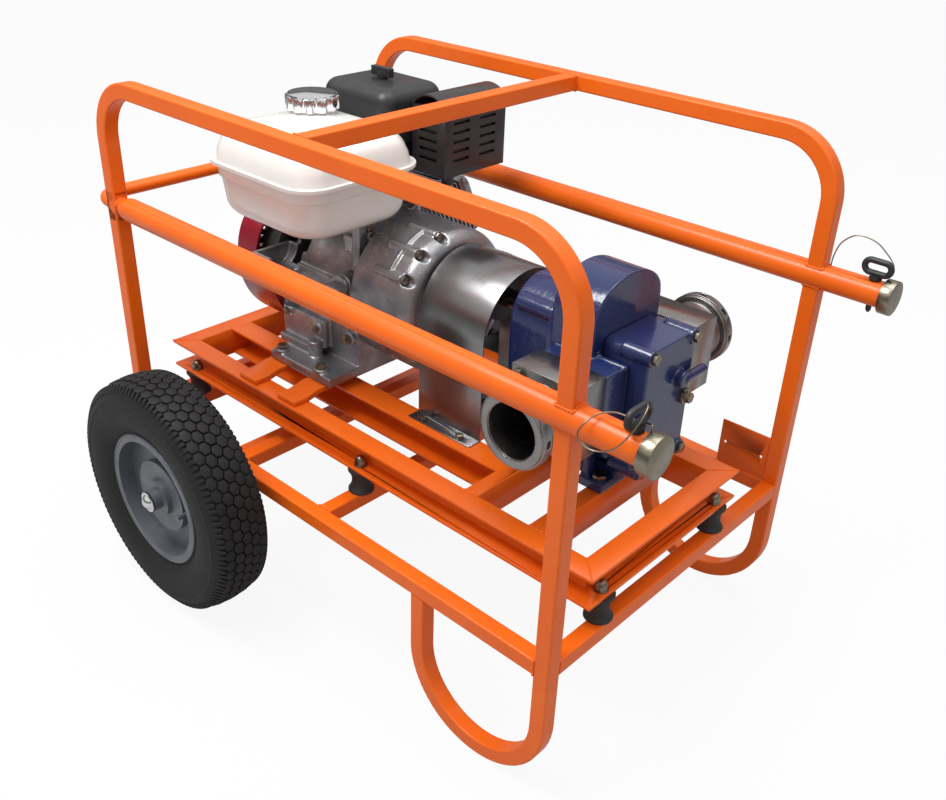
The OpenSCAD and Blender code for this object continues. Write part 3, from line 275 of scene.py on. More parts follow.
def build_grain():
    """A fine bump, from the ripple of sprayed powder to the sand marks of a casting."""
    group, enter, leave = shader_group(
        "grain", [("Grain size", FLOAT, 400.0), ("Depth", FLOAT, 0.0002), ("Broad wave", FLOAT, 0.0)],
        [("Normal", VECTOR)])
    place = group.nodes.new("ShaderNodeTexCoord")
    fine = group.nodes.new("ShaderNodeTexNoise")
    fine.inputs["Detail"].default_value = 3
    broad = group.nodes.new("ShaderNodeTexNoise")
    broad.inputs["Scale"].default_value = 28
    broad.inputs["Detail"].default_value = 2
    raise_broad = group.nodes.new("ShaderNodeMath")
    raise_broad.operation = "MULTIPLY_ADD"
    bump = group.nodes.new("ShaderNodeBump")
    link = group.links.new
    link(place.outputs["Object"], fine.inputs["Vector"])
    link(place.outputs["Object"], broad.inputs["Vector"])
    link(enter.outputs["Grain size"], fine.inputs["Scale"])
    link(broad.outputs["Fac"], raise_broad.inputs[0])
    link(enter.outputs["Broad wave"], raise_broad.inputs[1])
    link(fine.outputs["Fac"], raise_broad.inputs[2])
    link(raise_broad.outputs[0], bump.inputs["Height"])
    link(enter.outputs["Depth"], bump.inputs["Distance"])
    link(bump.outputs["Normal"], leave.inputs["Normal"])
    return group


def build_tool_lines():
    """Lines left by turning, milling or brushing: noise stretched along one direction."""
    group, enter, leave = shader_group(
        "tool_lines", [("Stretch", VECTOR, (8.0, 8.0, 900.0)), ("Depth", FLOAT, 0.00008)],
        [("Normal", VECTOR)])
    place = group.nodes.new("ShaderNodeTexCoord")
    stretch = group.nodes.new("ShaderNodeVectorMath")
    stretch.operation = "MULTIPLY"
    lines = group.nodes.new("ShaderNodeTexNoise")
    lines.inputs["Scale"].default_value = 1
    lines.inputs["Detail"].default_value = 3
    bump = group.nodes.new("ShaderNodeBump")
    link = group.links.new
    link(place.outputs["Object"], stretch.inputs[0])
    link(enter.outputs["Stretch"], stretch.inputs[1])
    link(stretch.outputs[0], lines.inputs["Vector"])
    link(lines.outputs["Fac"], bump.inputs["Height"])
    link(enter.outputs["Depth"], bump.inputs["Distance"])
    link(bump.outputs["Normal"], leave.inputs["Normal"])
    return group


TONE, GRAIN, TOOL_LINES = build_tone(), build_grain(), build_tool_lines()
print("groups:", TONE.name, GRAIN.name, TOOL_LINES.name)

# %% [markdown]
# A material here is a Principled BSDF fed by those groups. What stays the same all over a surface, such
# as metal or not, or a clear coat, is set on the shader itself. The recipe takes a colour, a worn
# colour, a roughness and the bump that suits the surface.

# %% The recipe for a finish
def finish(name, colour, worn, cloud=20.0, amount=0.3, rough=0.4, swing=0.1, metal=0.0, grain=None,
           lines=None, coat=0.0, coat_rough=0.1, specular=0.5):
    material = bpy.data.materials.new(name)
    material.use_nodes = True
    tree = material.node_tree
    shader = tree.nodes["Principled BSDF"]
    shader.inputs["Metallic"].default_value = metal
    shader.inputs["Coat Weight"].default_value = coat
    shader.inputs["Coat Roughness"].default_value = coat_rough
    shader.inputs["Specular IOR Level"].default_value = specular
    tone = tree.nodes.new("ShaderNodeGroup")
    tone.node_tree = TONE
    tone.inputs["Colour"].default_value = (*colour, 1)
    tone.inputs["Worn colour"].default_value = (*worn, 1)
    tone.inputs["Cloud size"].default_value = cloud
    tone.inputs["Amount"].default_value = amount
    tone.inputs["Roughness"].default_value = rough
    tone.inputs["Roughness swing"].default_value = swing
    tree.links.new(tone.outputs["Colour"], shader.inputs["Base Color"])
    tree.links.new(tone.outputs["Roughness"], shader.inputs["Roughness"])
    if lines:
        bump = tree.nodes.new("ShaderNodeGroup")
        bump.node_tree = TOOL_LINES
        bump.inputs["Stretch"].default_value = lines[0]
        bump.inputs["Depth"].default_value = lines[1]
        tree.links.new(bump.outputs["Normal"], shader.inputs["Normal"])
    elif grain:
        bump = tree.nodes.new("ShaderNodeGroup")
        bump.node_tree = GRAIN
        bump.inputs["Grain size"].default_value = grain[0]
        bump.inputs["Depth"].default_value = grain[1]
        bump.inputs["Broad wave"].default_value = grain[2] if len(grain) > 2 else 0.0
        tree.links.new(bump.outputs["Normal"], shader.inputs["Normal"])
    return material


# %% [markdown]
# The finishes of this trolley: baked powder on the tubes, thick enamel over the rough pump castings,
# bare die-cast aluminium, polished and machined stainless steel, zinc plate, and two kinds of rubber.

# %% Mixing the finishes
powder = finish("orange_powder_coat", (0.84, 0.140, 0.008), (0.74, 0.105, 0.006), cloud=9, amount=0.5,
                rough=0.32, swing=0.08, grain=(900, 0.00012, 1.2), coat=0.16, coat_rough=0.12,
                specular=0.26)
enamel = finish("navy_enamel", (0.008, 0.017, 0.082), (0.018, 0.030, 0.105), cloud=16, amount=0.5,
                rough=0.22, swing=0.12, grain=(160, 0.0005, 2.0), coat=0.5, coat_rough=0.08)
crimson = finish("crimson_paint", (0.25, 0.004, 0.017), (0.18, 0.003, 0.011), cloud=14, rough=0.28,
                 grain=(500, 0.0001), coat=0.3)
# The rims' base colour is partly their own silver-grey paint and partly painted shade: it is set much
# darker than silver to stand for the shadow the wheels sit in.
wheel_silver = finish("wheel_silver", (0.15, 0.16, 0.18), (0.10, 0.11, 0.13), cloud=30, amount=0.4,
                      rough=0.38, swing=0.1, metal=0.35, grain=(700, 0.0001))
die_cast = finish("die_cast_aluminium", (0.43, 0.43, 0.445), (0.21, 0.21, 0.225), cloud=26, amount=0.8,
                  rough=0.34, swing=0.20, metal=0.85, grain=(420, 0.00045, 0.9))
polished = finish("polished_sheet", (0.31, 0.305, 0.31), (0.22, 0.215, 0.22), cloud=9, amount=0.7,
                  rough=0.29, swing=0.12, metal=1.0, lines=((6, 6, 420), 0.00003))
machined = finish("machined_stainless", (0.33, 0.325, 0.32), (0.24, 0.235, 0.23), cloud=22, amount=0.5,
                  rough=0.29, swing=0.12, metal=1.0, lines=((30, 700, 30), 0.00006))
zinc = finish("zinc_plate", (0.31, 0.28, 0.22), (0.23, 0.19, 0.13), cloud=60, amount=0.6, rough=0.3,
              swing=0.12, metal=1.0, grain=(900, 0.00006))
dark_iron = finish("dark_iron", (0.10, 0.10, 0.105), (0.16, 0.13, 0.11), cloud=40, rough=0.5, metal=0.8,
                   grain=(500, 0.0002))
chrome = finish("bright_chrome", (0.80, 0.80, 0.82), (0.72, 0.72, 0.74), cloud=20, rough=0.12, swing=0.03,
                metal=1.0)
tank_gloss = finish("white_tank_enamel", (0.80, 0.795, 0.76), (0.73, 0.72, 0.68), cloud=7, amount=0.4,
                    rough=0.24, swing=0.08, grain=(90, 0.00006), coat=0.5)
moulded = finish("black_moulded_plastic", (0.020, 0.020, 0.022), (0.034, 0.034, 0.036), cloud=30,
                 rough=0.42, swing=0.12, grain=(1100, 0.00018))
stove_black = finish("black_stove_enamel", (0.022, 0.018, 0.020), (0.05, 0.035, 0.035), cloud=18,
                     amount=0.5, rough=0.34, swing=0.14, grain=(500, 0.0001))
tread_rubber = finish("tyre_rubber", (0.011, 0.011, 0.012), (0.024, 0.023, 0.022), cloud=12, amount=0.5,
                      rough=0.62, swing=0.12, grain=(700, 0.0002), specular=0.3)
soft_rubber = finish("mount_rubber", (0.018, 0.018, 0.018), (0.04, 0.038, 0.036), cloud=40, rough=0.6,
                     swing=0.1, grain=(600, 0.0002))
print(len(bpy.data.materials), "materials")

# %% [markdown]
# Each solid then gets its finish. The solids keep their own shapes; only the material is changed.

# %% Dressing the solids
FINISHES = {
    powder: "side_hoop_left side_hoop_right push_rail rear_bar lower_rails cross_bars corner_plate "
            "axle_beam base_channels base_members",
    enamel: "gear_housing rotor_case front_cover",
    crimson: "fan_housing recoil_cover",
    wheel_silver: "rim_left rim_right",
    die_cast: "crankcase reduction_case cylinder rocker_cover carburettor oil_cap",
    polished: "coupling_guard",
    machined: "port_blocks port_nuts rotor_drive rotor_driven",
    zinc: "axle handle_left handle_right lanyard_left lanyard_right crankshaft output_shaft engine_bolts "
          "drive_shaft driven_shaft shaft_bearings pump_bolts throttle_lever isolator_nuts",
    dark_iron: "flywheel coupling_hubs timing_gear_drive timing_gear_driven muffler",
    chrome: "hub_caps fuel_cap",
    tank_gloss: "fuel_tank",
    moulded: "starter_grip air_cleaner air_cleaner_knob pull_pin_left pull_pin_right",
    stove_black: "muffler_guard",
    tread_rubber: "tyre_left tyre_right",
    soft_rubber: "isolators coupling_spider",
}


def dress(obj, material):
    obj.data.materials.clear()
    obj.data.materials.append(material)


for material, names in FINISHES.items():
    for name in names.split():
        dress(nodes[name], material)
print(sum(len(n.split()) for n in FINISHES.values()), "solids dressed")

# %% [markdown]
# ## The wire lanyards
# Each locking pin hangs on a thin steel wire, so that it can't be lost. A wire is springy: it keeps a
# smooth loop, however it falls. A curve with a round bevel is the natural tool, because the curve's own
# line is the wire's centre and its length can be measured.

# %% Winding the lanyards
LANYARDS = {
    "left": [(801, -283, 623), (800, -279, 628), (794, -277, 627), (784, -277, 624), (772, -281, 627),
             (757, -285, 628), (746, -297, 627), (740, -312, 621), (736, -320, 609), (742, -322, 600),
             (756, -320, 596), (772, -318, 601), (786, -319, 613), (797, -318, 630), (804, -312, 646),
             (805, -302, 658), (800, -294, 660), (797, -291, 657)],
    "right": [(722, 291, 623), (722, 294, 638), (726, 298, 655), (736, 299, 667), (746, 300, 673),
              (759, 301, 674), (776, 302, 670), (791, 302, 660), (801, 300.5, 652),
              (808, 297.5, 646)],
}
WIRE = 0.002


def smooth_path(points, steps):
    """A rounded path through all the points, by the Catmull-Rom rule."""
    path = []
    for i in range(len(points) - 1):
        before, here = points[max(i - 1, 0)], points[i]
        after, beyond = points[i + 1], points[min(i + 2, len(points) - 1)]
        for k in range(steps):
            t = k / steps
            path.append(0.5 * (2 * here + (after - before) * t
                               + (2 * before - 5 * here + 4 * after - beyond) * t * t
                               + (3 * here - before - 3 * after + beyond) * t * t * t))
    return path + [points[-1]]


def wire_curve(name, path, width):
    data = bpy.data.curves.new(name, "CURVE")
    data.dimensions = "3D"
    data.bevel_depth = width / 2
    data.bevel_resolution = 2
    data.use_fill_caps = True
    spline = data.splines.new("POLY")
    spline.points.add(len(path) - 1)
    for point, place in zip(spline.points, path):
        point.co = (*place, 1)
    obj = bpy.data.objects.new(name, data)
    scene.collection.objects.link(obj)
    return obj


for side, places in LANYARDS.items():
    path = smooth_path([at(*p) for p in places], 6)
    wire = wire_curve("lanyard_wire_" + side, path, WIRE)
    wire.data.materials.append(zinc)
    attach(wire, "trolley")
    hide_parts("lanyard_" + side)

# %% [markdown]
# ## Castings with rounded edges
# A casting never has a sharp edge: the pattern must leave the sand, and paint rounds it further. The
# solids are sharp, so each casting is copied, closed into one skin with a voxel remesh, and smoothed a
# little. That turns every corner and every inner angle into a small fillet at once.

# %% Rounding a casting
def merged_copy(node, name):
    """A copy of a solid whose triangles share their corners."""
    mesh = nodes[node].data.copy()
    mesh.name = name
    bm = bmesh.new()
    bm.from_mesh(mesh)
    bmesh.ops.remove_doubles(bm, verts=bm.verts, dist=1e-6)
    bm.to_mesh(mesh)
    bm.free()
    mesh.normals_split_custom_set([(0, 0, 0)] * len(mesh.loops))
    obj = bpy.data.objects.new(name, mesh)
    scene.collection.objects.link(obj)
    return obj


def evaluated_mesh(obj, name):
    graph = bpy.context.evaluated_depsgraph_get()
    mesh = bpy.data.meshes.new_from_object(obj.evaluated_get(graph))
    mesh.name = name
    return mesh


def plain_mesh(obj):
    """Turns what the modifiers make into the object's own mesh, and removes them."""
    mesh = evaluated_mesh(obj, obj.name)
    obj.modifiers.clear()
    obj.data = mesh
    return obj


DOME_FROM, DOME_SHARE = 603, 0.66
ROTOR_Y, LOWER_ROTOR_Z, UPPER_ROTOR_Z, BORE_R = 20, 432, 532, 67.4


def lower_dome(obj, above, share):
    """Presses what stands over a height down to a share of its rise."""
    for vert in obj.data.vertices:
        if vert.co.z > mm(above):
            vert.co.z = mm(above) + (vert.co.z - mm(above)) * share


def open_bore(obj, middle_y, low_z, high_z, radius):
    """Rounding thickens a bored wall; this sets the double bore of the rotors back to its radius."""
    for vert in obj.data.vertices:
        axis_z = min(max(vert.co.z, mm(low_z)), mm(high_z))
        arm = Vector((vert.co.y - mm(middle_y), vert.co.z - axis_z))
        if mm(radius - 7) < arm.length < mm(radius):
            arm *= mm(radius) / arm.length
            vert.co.y, vert.co.z = mm(middle_y) + arm.x, axis_z + arm.y


def fit_rotor_case(obj):
    """The real dome is lower than the solid's, and the rotors need their room."""
    lower_dome(obj, DOME_FROM, DOME_SHARE)
    open_bore(obj, ROTOR_Y, LOWER_ROTOR_Z, UPPER_ROTOR_Z, BORE_R)


def rounded_casting(node, voxel, passes, material, fit=None, body="trolley"):
    obj = merged_copy(node, node + "_casting")
    skin = obj.modifiers.new("one skin", "REMESH")
    skin.mode = "VOXEL"
    skin.voxel_size = voxel
    relax = obj.modifiers.new("rounded", "SMOOTH")
    relax.factor = 0.5
    relax.iterations = passes
    thin = obj.modifiers.new("thin", "DECIMATE")
    thin.ratio = 0.3
    plain_mesh(obj)
    if fit:
        fit(obj)
    obj.data.shade_smooth()
    dress(obj, material)
    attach(obj, body)
    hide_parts(node)
    print(obj.name, len(obj.data.polygons), "faces")
    return obj


CASTINGS = (("rotor_case", 0.0016, 7, enamel, fit_rotor_case), ("front_cover", 0.0013, 8, enamel),
            ("gear_housing", 0.0016, 6, enamel), ("crankcase", 0.0019, 4, die_cast),
            ("reduction_case", 0.0017, 5, die_cast), ("rocker_cover", 0.0012, 4, die_cast),
            ("air_cleaner", 0.0018, 4, moulded))
for casting in CASTINGS:
    rounded_casting(*casting)

# %% [markdown]
# ## Tyres with a block tread
# A trolley tyre is moulded rubber: a smooth carcass with rows of raised six-sided blocks that interlock
# like a honeycomb. The carcass is a profile spun round the wheel's axis. Each row of blocks is one block
# repeated round a circle, which is a job for Geometry Nodes: the count, the radius and the lean of the
# blocks stay numbers that can be changed.

# %% Spinning a profile
def lathe(name, profile, steps, closed=True):
    """Spins (radius, height) points about z into a smooth shell, normals outward."""
    bm = bmesh.new()
    ring = [bm.verts.new((radius, 0, height)) for radius, height in profile]
    pairs = list(zip(ring, ring[1:] + ring[:1])) if closed else list(zip(ring, ring[1:]))
    edges = [bm.edges.new(pair) for pair in pairs]
    bmesh.ops.spin(bm, geom=ring + edges, cent=(0, 0, 0), axis=(0, 0, 1), dvec=(0, 0, 0),
                   angle=2 * math.pi, steps=steps, use_merge=True)
    bmesh.ops.remove_doubles(bm, verts=bm.verts, dist=1e-6)
    bmesh.ops.recalc_face_normals(bm, faces=bm.faces)
    mesh = bpy.data.meshes.new(name)
    bm.to_mesh(mesh)
    bm.free()
    mesh.shade_smooth()
    obj = bpy.data.objects.new(name, mesh)
    scene.collection.objects.link(obj)
    return obj


def stacked(name, loops):
    """A closed skin over rings of points, from the lowest ring to the highest."""
    bm = bmesh.new()
    rings = [[bm.verts.new(point) for point in loop] for loop in loops]
    for low, high in zip(rings, rings[1:]):
        for i in range(len(low)):
            j = (i + 1) % len(low)
            bm.faces.new((low[i], low[j], high[j], high[i]))
    bm.faces.new(rings[-1])
    bm.faces.new(rings[0][::-1])
    bmesh.ops.recalc_face_normals(bm, faces=bm.faces)
    mesh = bpy.data.meshes.new(name)
    bm.to_mesh(mesh)
    bm.free()
    return bpy.data.objects.new(name, mesh)


def prism(name, outline, rings):
    """Scaled copies of one outline at rising heights: (height, scale) for each ring."""
    return stacked(name, [[(x * scale, y * scale, height) for x, y in outline] for height, scale in rings])


# %% Geometry Nodes: one block repeated round a circle
def node_group(name, inputs):
    group = bpy.data.node_groups.new(name, "GeometryNodeTree")
    group.interface.new_socket("Geometry", in_out="INPUT", socket_type="NodeSocketGeometry")
    for label, kind in inputs:
        group.interface.new_socket(label, in_out="INPUT", socket_type=kind)
    group.interface.new_socket("Geometry", in_out="OUTPUT", socket_type="NodeSocketGeometry")
    return group, group.nodes.new("NodeGroupInput"), group.nodes.new("NodeGroupOutput")


def build_ring_of():
    group, enter, leave = node_group("ring_of", [
        ("Piece", "NodeSocketObject"), ("Count", "NodeSocketInt"), ("Radius", "NodeSocketFloat"),
        ("Height", "NodeSocketFloat"), ("Turn", "NodeSocketFloat"), ("Lean", "NodeSocketFloat"),
        ("Finish", "NodeSocketMaterial")])
    link = group.links.new
    circle = group.nodes.new("GeometryNodeMeshCircle")
    piece = group.nodes.new("GeometryNodeObjectInfo")
    spot = group.nodes.new("GeometryNodeInputPosition")
    outward = group.nodes.new("FunctionNodeAlignRotationToVector")
    outward.axis = "Z"
    upright = group.nodes.new("FunctionNodeAlignRotationToVector")
    upright.axis, upright.pivot_axis = "Y", "Z"
    upright.inputs["Vector"].default_value = (0, 0, 1)
    lean = group.nodes.new("FunctionNodeRotateRotation")
    lean.rotation_space = "LOCAL"
    lean_angle = group.nodes.new("ShaderNodeCombineXYZ")
    copies = group.nodes.new("GeometryNodeInstanceOnPoints")
    real = group.nodes.new("GeometryNodeRealizeInstances")
    move = group.nodes.new("GeometryNodeTransform")
    shift = group.nodes.new("ShaderNodeCombineXYZ")
    turn = group.nodes.new("ShaderNodeCombineXYZ")
    paint = group.nodes.new("GeometryNodeSetMaterial")
    link(enter.outputs["Count"], circle.inputs["Vertices"])
    link(enter.outputs["Radius"], circle.inputs["Radius"])
    link(enter.outputs["Piece"], piece.inputs["Object"])
    link(spot.outputs["Position"], outward.inputs["Vector"])
    link(outward.outputs["Rotation"], upright.inputs["Rotation"])
    link(upright.outputs["Rotation"], lean.inputs["Rotation"])
    link(enter.outputs["Lean"], lean_angle.inputs["X"])
    link(lean_angle.outputs[0], lean.inputs["Rotate By"])
    link(circle.outputs["Mesh"], copies.inputs["Points"])
    link(piece.outputs["Geometry"], copies.inputs["Instance"])
    link(lean.outputs["Rotation"], copies.inputs["Rotation"])
    link(copies.outputs["Instances"], real.inputs["Geometry"])
    link(real.outputs["Geometry"], move.inputs["Geometry"])
    link(enter.outputs["Height"], shift.inputs["Z"])
    link(shift.outputs[0], move.inputs["Translation"])
    link(enter.outputs["Turn"], turn.inputs["Z"])
    link(turn.outputs[0], move.inputs["Rotation"])
    link(move.outputs["Geometry"], paint.inputs["Geometry"])
    link(enter.outputs["Finish"], paint.inputs["Material"])
    link(paint.outputs["Geometry"], leave.inputs["Geometry"])
    return group


RING_OF = build_ring_of()


def set_inputs(modifier, values):
    """Gives a node group's inputs by their labels."""
    for item in modifier.node_group.interface.items_tree:
        if item.item_type == "SOCKET" and item.in_out == "INPUT" and item.name in values:
            modifier[item.identifier] = values[item.name]


def with_nodes(name, group, values):
    """An object whose mesh is what a node group makes from the values."""
    obj = bpy.data.objects.new(name, bpy.data.meshes.new(name))
    scene.collection.objects.link(obj)
    modifier = obj.modifiers.new(name, "NODES")
    modifier.node_group = group
    set_inputs(modifier, values)
    return obj


def joined(name, pieces):
    """One object from several, their meshes put together."""
    bm = bmesh.new()
    slots = []
    for piece in pieces:
        mesh = evaluated_mesh(piece, piece.name)
        start = len(bm.faces)
        bm.from_mesh(mesh)
        bm.faces.ensure_lookup_table()
        for material in mesh.materials:
            if material not in slots:
                slots.append(material)
        for face in bm.faces[start:]:
            face.material_index = slots.index(mesh.materials[face.material_index])
    mesh = bpy.data.meshes.new(name)
    bm.to_mesh(mesh)
    bm.free()
    for material in slots:
        mesh.materials.append(material)
    obj = bpy.data.objects.new(name, mesh)
    scene.collection.objects.link(obj)
    for piece in pieces:
        bpy.data.objects.remove(piece)
    return obj


# %% The tyre
TYRE_HALF = [(103, 30), (103.5, 34), (108, 36.6), (113, 37.2), (116, 36.5), (120, 39.5), (128, 44.5),
             (137, 47.6), (147, 49.3), (157, 49.9), (166, 49.3), (171, 48.7), (172.5, 49.4), (174, 48.6),
             (180, 46.6), (185.5, 43.6), (189.5, 39.5), (192, 34), (193.4, 27), (194.2, 16), (194.5, 6)]
BLOCK_COUNT = 60
BLOCK_ROWS = ((-30, 195.5, 0.5, 0.11), (-15, 198.6, 0, 0.04), (0, 199.6, 0.5, 0), (15, 198.6, 0, -0.04),
              (30, 195.5, 0.5, -0.11))
block = prism("tread_block", [(mm(x), mm(y)) for x, y in
                              ((9.2, 4.4), (0, 8.9), (-9.2, 4.4), (-9.2, -4.4), (0, -8.9), (9.2, -4.4))],
              ((-0.008, 1.06), (-0.0012, 1.0), (-0.0002, 0.96), (0, 0.88)))
rib = prism("shoulder_rib", [(mm(x), mm(y)) for x, y in
                             ((2.6, 6.5), (-2.6, 6.5), (-3.2, -6.5), (3.2, -6.5))],
            ((-0.007, 1.05), (-0.0008, 1.0), (0, 0.8)))


def make_tyre(side):
    profile = [(mm(r), mm(h)) for r, h in TYRE_HALF]
    profile += [(r, -h) for r, h in reversed(profile)]
    carcass = lathe("carcass_" + side, profile, 144)
    dress(carcass, tread_rubber)
    rows = [carcass]
    for height, radius, phase, lean in BLOCK_ROWS:
        rows.append(with_nodes("block_row", RING_OF, {
            "Piece": block, "Count": BLOCK_COUNT, "Radius": mm(radius), "Height": mm(height),
            "Turn": phase * 2 * math.pi / BLOCK_COUNT, "Lean": lean, "Finish": tread_rubber}))
    for edge in (-1, 1):
        rows.append(with_nodes("rib_row", RING_OF, {
            "Piece": rib, "Count": 2 * BLOCK_COUNT, "Radius": mm(190), "Height": edge * mm(42.2),
            "Turn": 0.0, "Lean": -edge * 0.95, "Finish": tread_rubber}))
    tyre = joined("tyre_moulded_" + side, rows)
    low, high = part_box("rim_" + side)
    centre = Vector((AXLE_X, (low.y + high.y) / 2, (low.z + high.z) / 2))
    tyre.data.transform(Matrix.Translation(centre) @ Matrix.Rotation(math.radians(-90), 4, "X"))
    tyre.data.shade_smooth()
    tyre.data.set_sharp_from_angle(angle=math.radians(32))
    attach(tyre, "wheel_" + side)
    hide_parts("tyre_" + side)
    print(tyre.name, len(tyre.data.polygons), "faces")


for side in ("left", "right"):
    make_tyre(side)

# %% [markdown]
# ## The fuel tank
# The tank is two deep-drawn halves with a rolled flange between them. Its walls stand almost upright and
# its bottom edge is a wide round, so the skin is a stack of rounded rectangles: each level gives its
# height and how far the wall has moved in.

# %% Stacking the levels of the tank
def rounded_rectangle(half_x, half_y, radius, per_corner=9):
    radius = min(radius, half_x, half_y)
    points = []
    for sx, sy, start in ((1, 1, 0), (-1, 1, 90), (-1, -1, 180), (1, -1, 270)):
        for k in range(per_corner):
            a = math.radians(start + 90 * k / (per_corner - 1))
            points.append((sx * (half_x - radius) + radius * math.cos(a),
                           sy * (half_y - radius) + radius * math.sin(a)))
    return points


FLANGE, SEAM_RISE, TANK_RISE, TANK_CORNER = 7, 88, 150, 48
NECK = ((0, 0), (39, 0), (36, 4), (34, 10), (0, 10))
NECK_RISE = 141.5


def tank_levels(bottom, seam, top):
    """(height, inset) from the bottom up; a minus inset stands out as the flange."""
    edge, crown = 30, 44
    levels = [(bottom, 60), (bottom, edge + 8)]
    for k in range(1, 9):
        a = math.radians(90 * k / 8)
        levels.append((bottom + edge * (1 - math.cos(a)), 8 + edge * (1 - math.sin(a))))
    levels += [(seam - 24, 4.5), (seam - 22, 1.5), (seam - 3.2, 0), (seam - 3, -FLANGE),
               (seam + 2, -FLANGE), (seam + 2.2, 0), (top - crown, 2)]
    for k in range(1, 10):
        a = math.radians(90 * k / 9)
        levels.append((top - 5 - (crown - 5) * (1 - math.sin(a)), 4 + 46 * (1 - math.cos(a))))
    return levels + [(top - 2, 75), (top, 100)]


def tank_skin(low, high):
    middle = (low + high) / 2
    half_x, half_y = (high.x - low.x) * 500 - FLANGE, (high.y - low.y) * 500 - FLANGE
    bottom = low.z * 1000
    loops = []
    for height, inset in tank_levels(bottom, bottom + SEAM_RISE, bottom + TANK_RISE):
        outline = rounded_rectangle(half_x - inset, half_y - inset, TANK_CORNER - 0.2 * inset)
        loops.append([(middle.x + mm(x), middle.y + mm(y), mm(height)) for x, y in outline])
    skin = stacked("fuel_tank_skin", loops)
    scene.collection.objects.link(skin)
    return skin


def tank_neck(place):
    neck = lathe("fuel_tank_neck", [(mm(r), mm(z)) for r, z in NECK], 48, closed=False)
    neck.data.transform(Matrix.Translation(place))
    return neck


# %% Joining the tank's skin and its filler neck
def make_tank():
    low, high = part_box("fuel_tank")
    cap_low, cap_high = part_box("fuel_cap")
    place = (cap_low + cap_high) / 2
    place.z = low.z + mm(NECK_RISE)
    halves = [tank_skin(low, high), tank_neck(place)]
    for piece in halves:
        dress(piece, tank_gloss)
    tank = joined("fuel_tank_shell", halves)
    tank.data.shade_smooth()
    tank.data.set_sharp_from_angle(angle=math.radians(40))
    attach(tank, "trolley")
    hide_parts("fuel_tank")
    return tank


make_tank()

# %% [markdown]
# ## The bar behind the rear legs
# The wide rails end on the rear legs, where their mouths are pressed narrower and welded. Behind the
# legs a thinner round bar goes on and joins both sides. The wide rail is cut with a bisecting plane and
# its last rings are drawn in; the thin bar is a curve with a round bevel.

# %% Cutting the rails and bending the thin bar
RAIL_Y, RAIL_Z, RAIL_R, LEG_HALF = 290.5, 603, 19, 12.5
LEG_REAR, LEG_FRONT = -239, -214
MOUTH_START, MOUTH_Y, MOUTH_SHARE = -186, 289.6, 0.66
THIN_BAR, BAR_X, BAR_BEND = 11, -284, 34


def drawn_in_rails():
    """The wide rails cut off at the rear legs, their last rings drawn in."""
    obj = merged_copy("push_rail", "push_rail_sides")
    bm = bmesh.new()
    bm.from_mesh(obj.data)
    for x in (MOUTH_START, -192, -198, -204, -209):
        bmesh.ops.bisect_plane(bm, geom=bm.verts[:] + bm.edges[:] + bm.faces[:],
                               plane_co=at(x, 0, 0), plane_no=(1, 0, 0))
    cut = bmesh.ops.bisect_plane(bm, geom=bm.verts[:] + bm.edges[:] + bm.faces[:], dist=1e-6,
                                 plane_co=at(LEG_FRONT, 0, 0), plane_no=(1, 0, 0), clear_inner=True)
    rims = [g for g in cut["geom_cut"] if isinstance(g, bmesh.types.BMEdge)]
    for side in (-1, 1):
        bmesh.ops.bridge_loops(bm, edges=[e for e in rims if e.verts[0].co.y * side > 0])
    start, end = at(LEG_FRONT, 0, 0).x, at(MOUTH_START, 0, 0).x
    for vert in bm.verts:
        if vert.co.x < end:
            t = (vert.co.x - start) / (end - start)
            scale = MOUTH_SHARE + (1 - MOUTH_SHARE) * t * t * (3 - 2 * t)
            middle = Vector((vert.co.x, math.copysign(mm(MOUTH_Y), vert.co.y), mm(RAIL_Z)))
            vert.co.yz = middle.yz + (vert.co.yz - middle.yz) * scale
    bmesh.ops.recalc_face_normals(bm, faces=bm.faces)
    bm.to_mesh(obj.data)
    bm.free()
    obj.data.shade_smooth()
    obj.data.set_sharp_from_angle(angle=math.radians(50))
    dress(obj, powder)
    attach(obj, "trolley")
    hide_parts("push_rail")
    return obj


def thin_bar():
    """The bar behind the legs, with a quarter bend on each side."""
    half = [(LEG_REAR + 4, RAIL_Y)]
    for k in range(13):
        a = k * math.pi / 24
        half.append((BAR_X + BAR_BEND * (1 - math.sin(a)), RAIL_Y - BAR_BEND * (1 - math.cos(a))))
    route = [at(x, -y, RAIL_Z) for x, y in half] + [at(x, y, RAIL_Z) for x, y in reversed(half)]
    curve = wire_curve("rear_bar_curve", route, mm(2 * THIN_BAR))
    curve.data.bevel_resolution = 7
    mesh = evaluated_mesh(curve, "rear_bar_thin")
    bpy.data.objects.remove(curve)
    obj = bpy.data.objects.new("rear_bar_thin", mesh)
    scene.collection.objects.link(obj)
    obj.data.shade_smooth()
    dress(obj, powder)
    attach(obj, "trolley")
    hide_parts("rear_bar")
    return obj


def leg_sleeve(side):
    """The whole square leg where the solid's leg is notched for the rail."""
    outline = [(mm(x), mm(y)) for x, y in rounded_rectangle(LEG_HALF, LEG_HALF, 3, per_corner=5)]
    sleeve = prism("leg_sleeve", outline, ((0, 1), (mm(46), 1)))
    sleeve.data.transform(Matrix.Translation(at((LEG_REAR + LEG_FRONT) / 2, side * RAIL_Y, 580)))
    scene.collection.objects.link(sleeve)
    dress(sleeve, powder)
    sleeve.data.shade_smooth()
    sleeve.data.set_sharp_from_angle(angle=math.radians(35))
    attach(sleeve, "trolley")
    return sleeve


drawn_in_rails()
thin_bar()
for side in (-1, 1):
    leg_sleeve(side)

# %% [markdown]
# ## Weld beads
# The tubes are welded where they meet. A bead is a thin fillet of metal with small ripples, one for
# each drop of the weld pool. It is drawn as a line along the joint, and Geometry Nodes sweeps a circle
# along it whose radius swells and shrinks with the distance travelled.

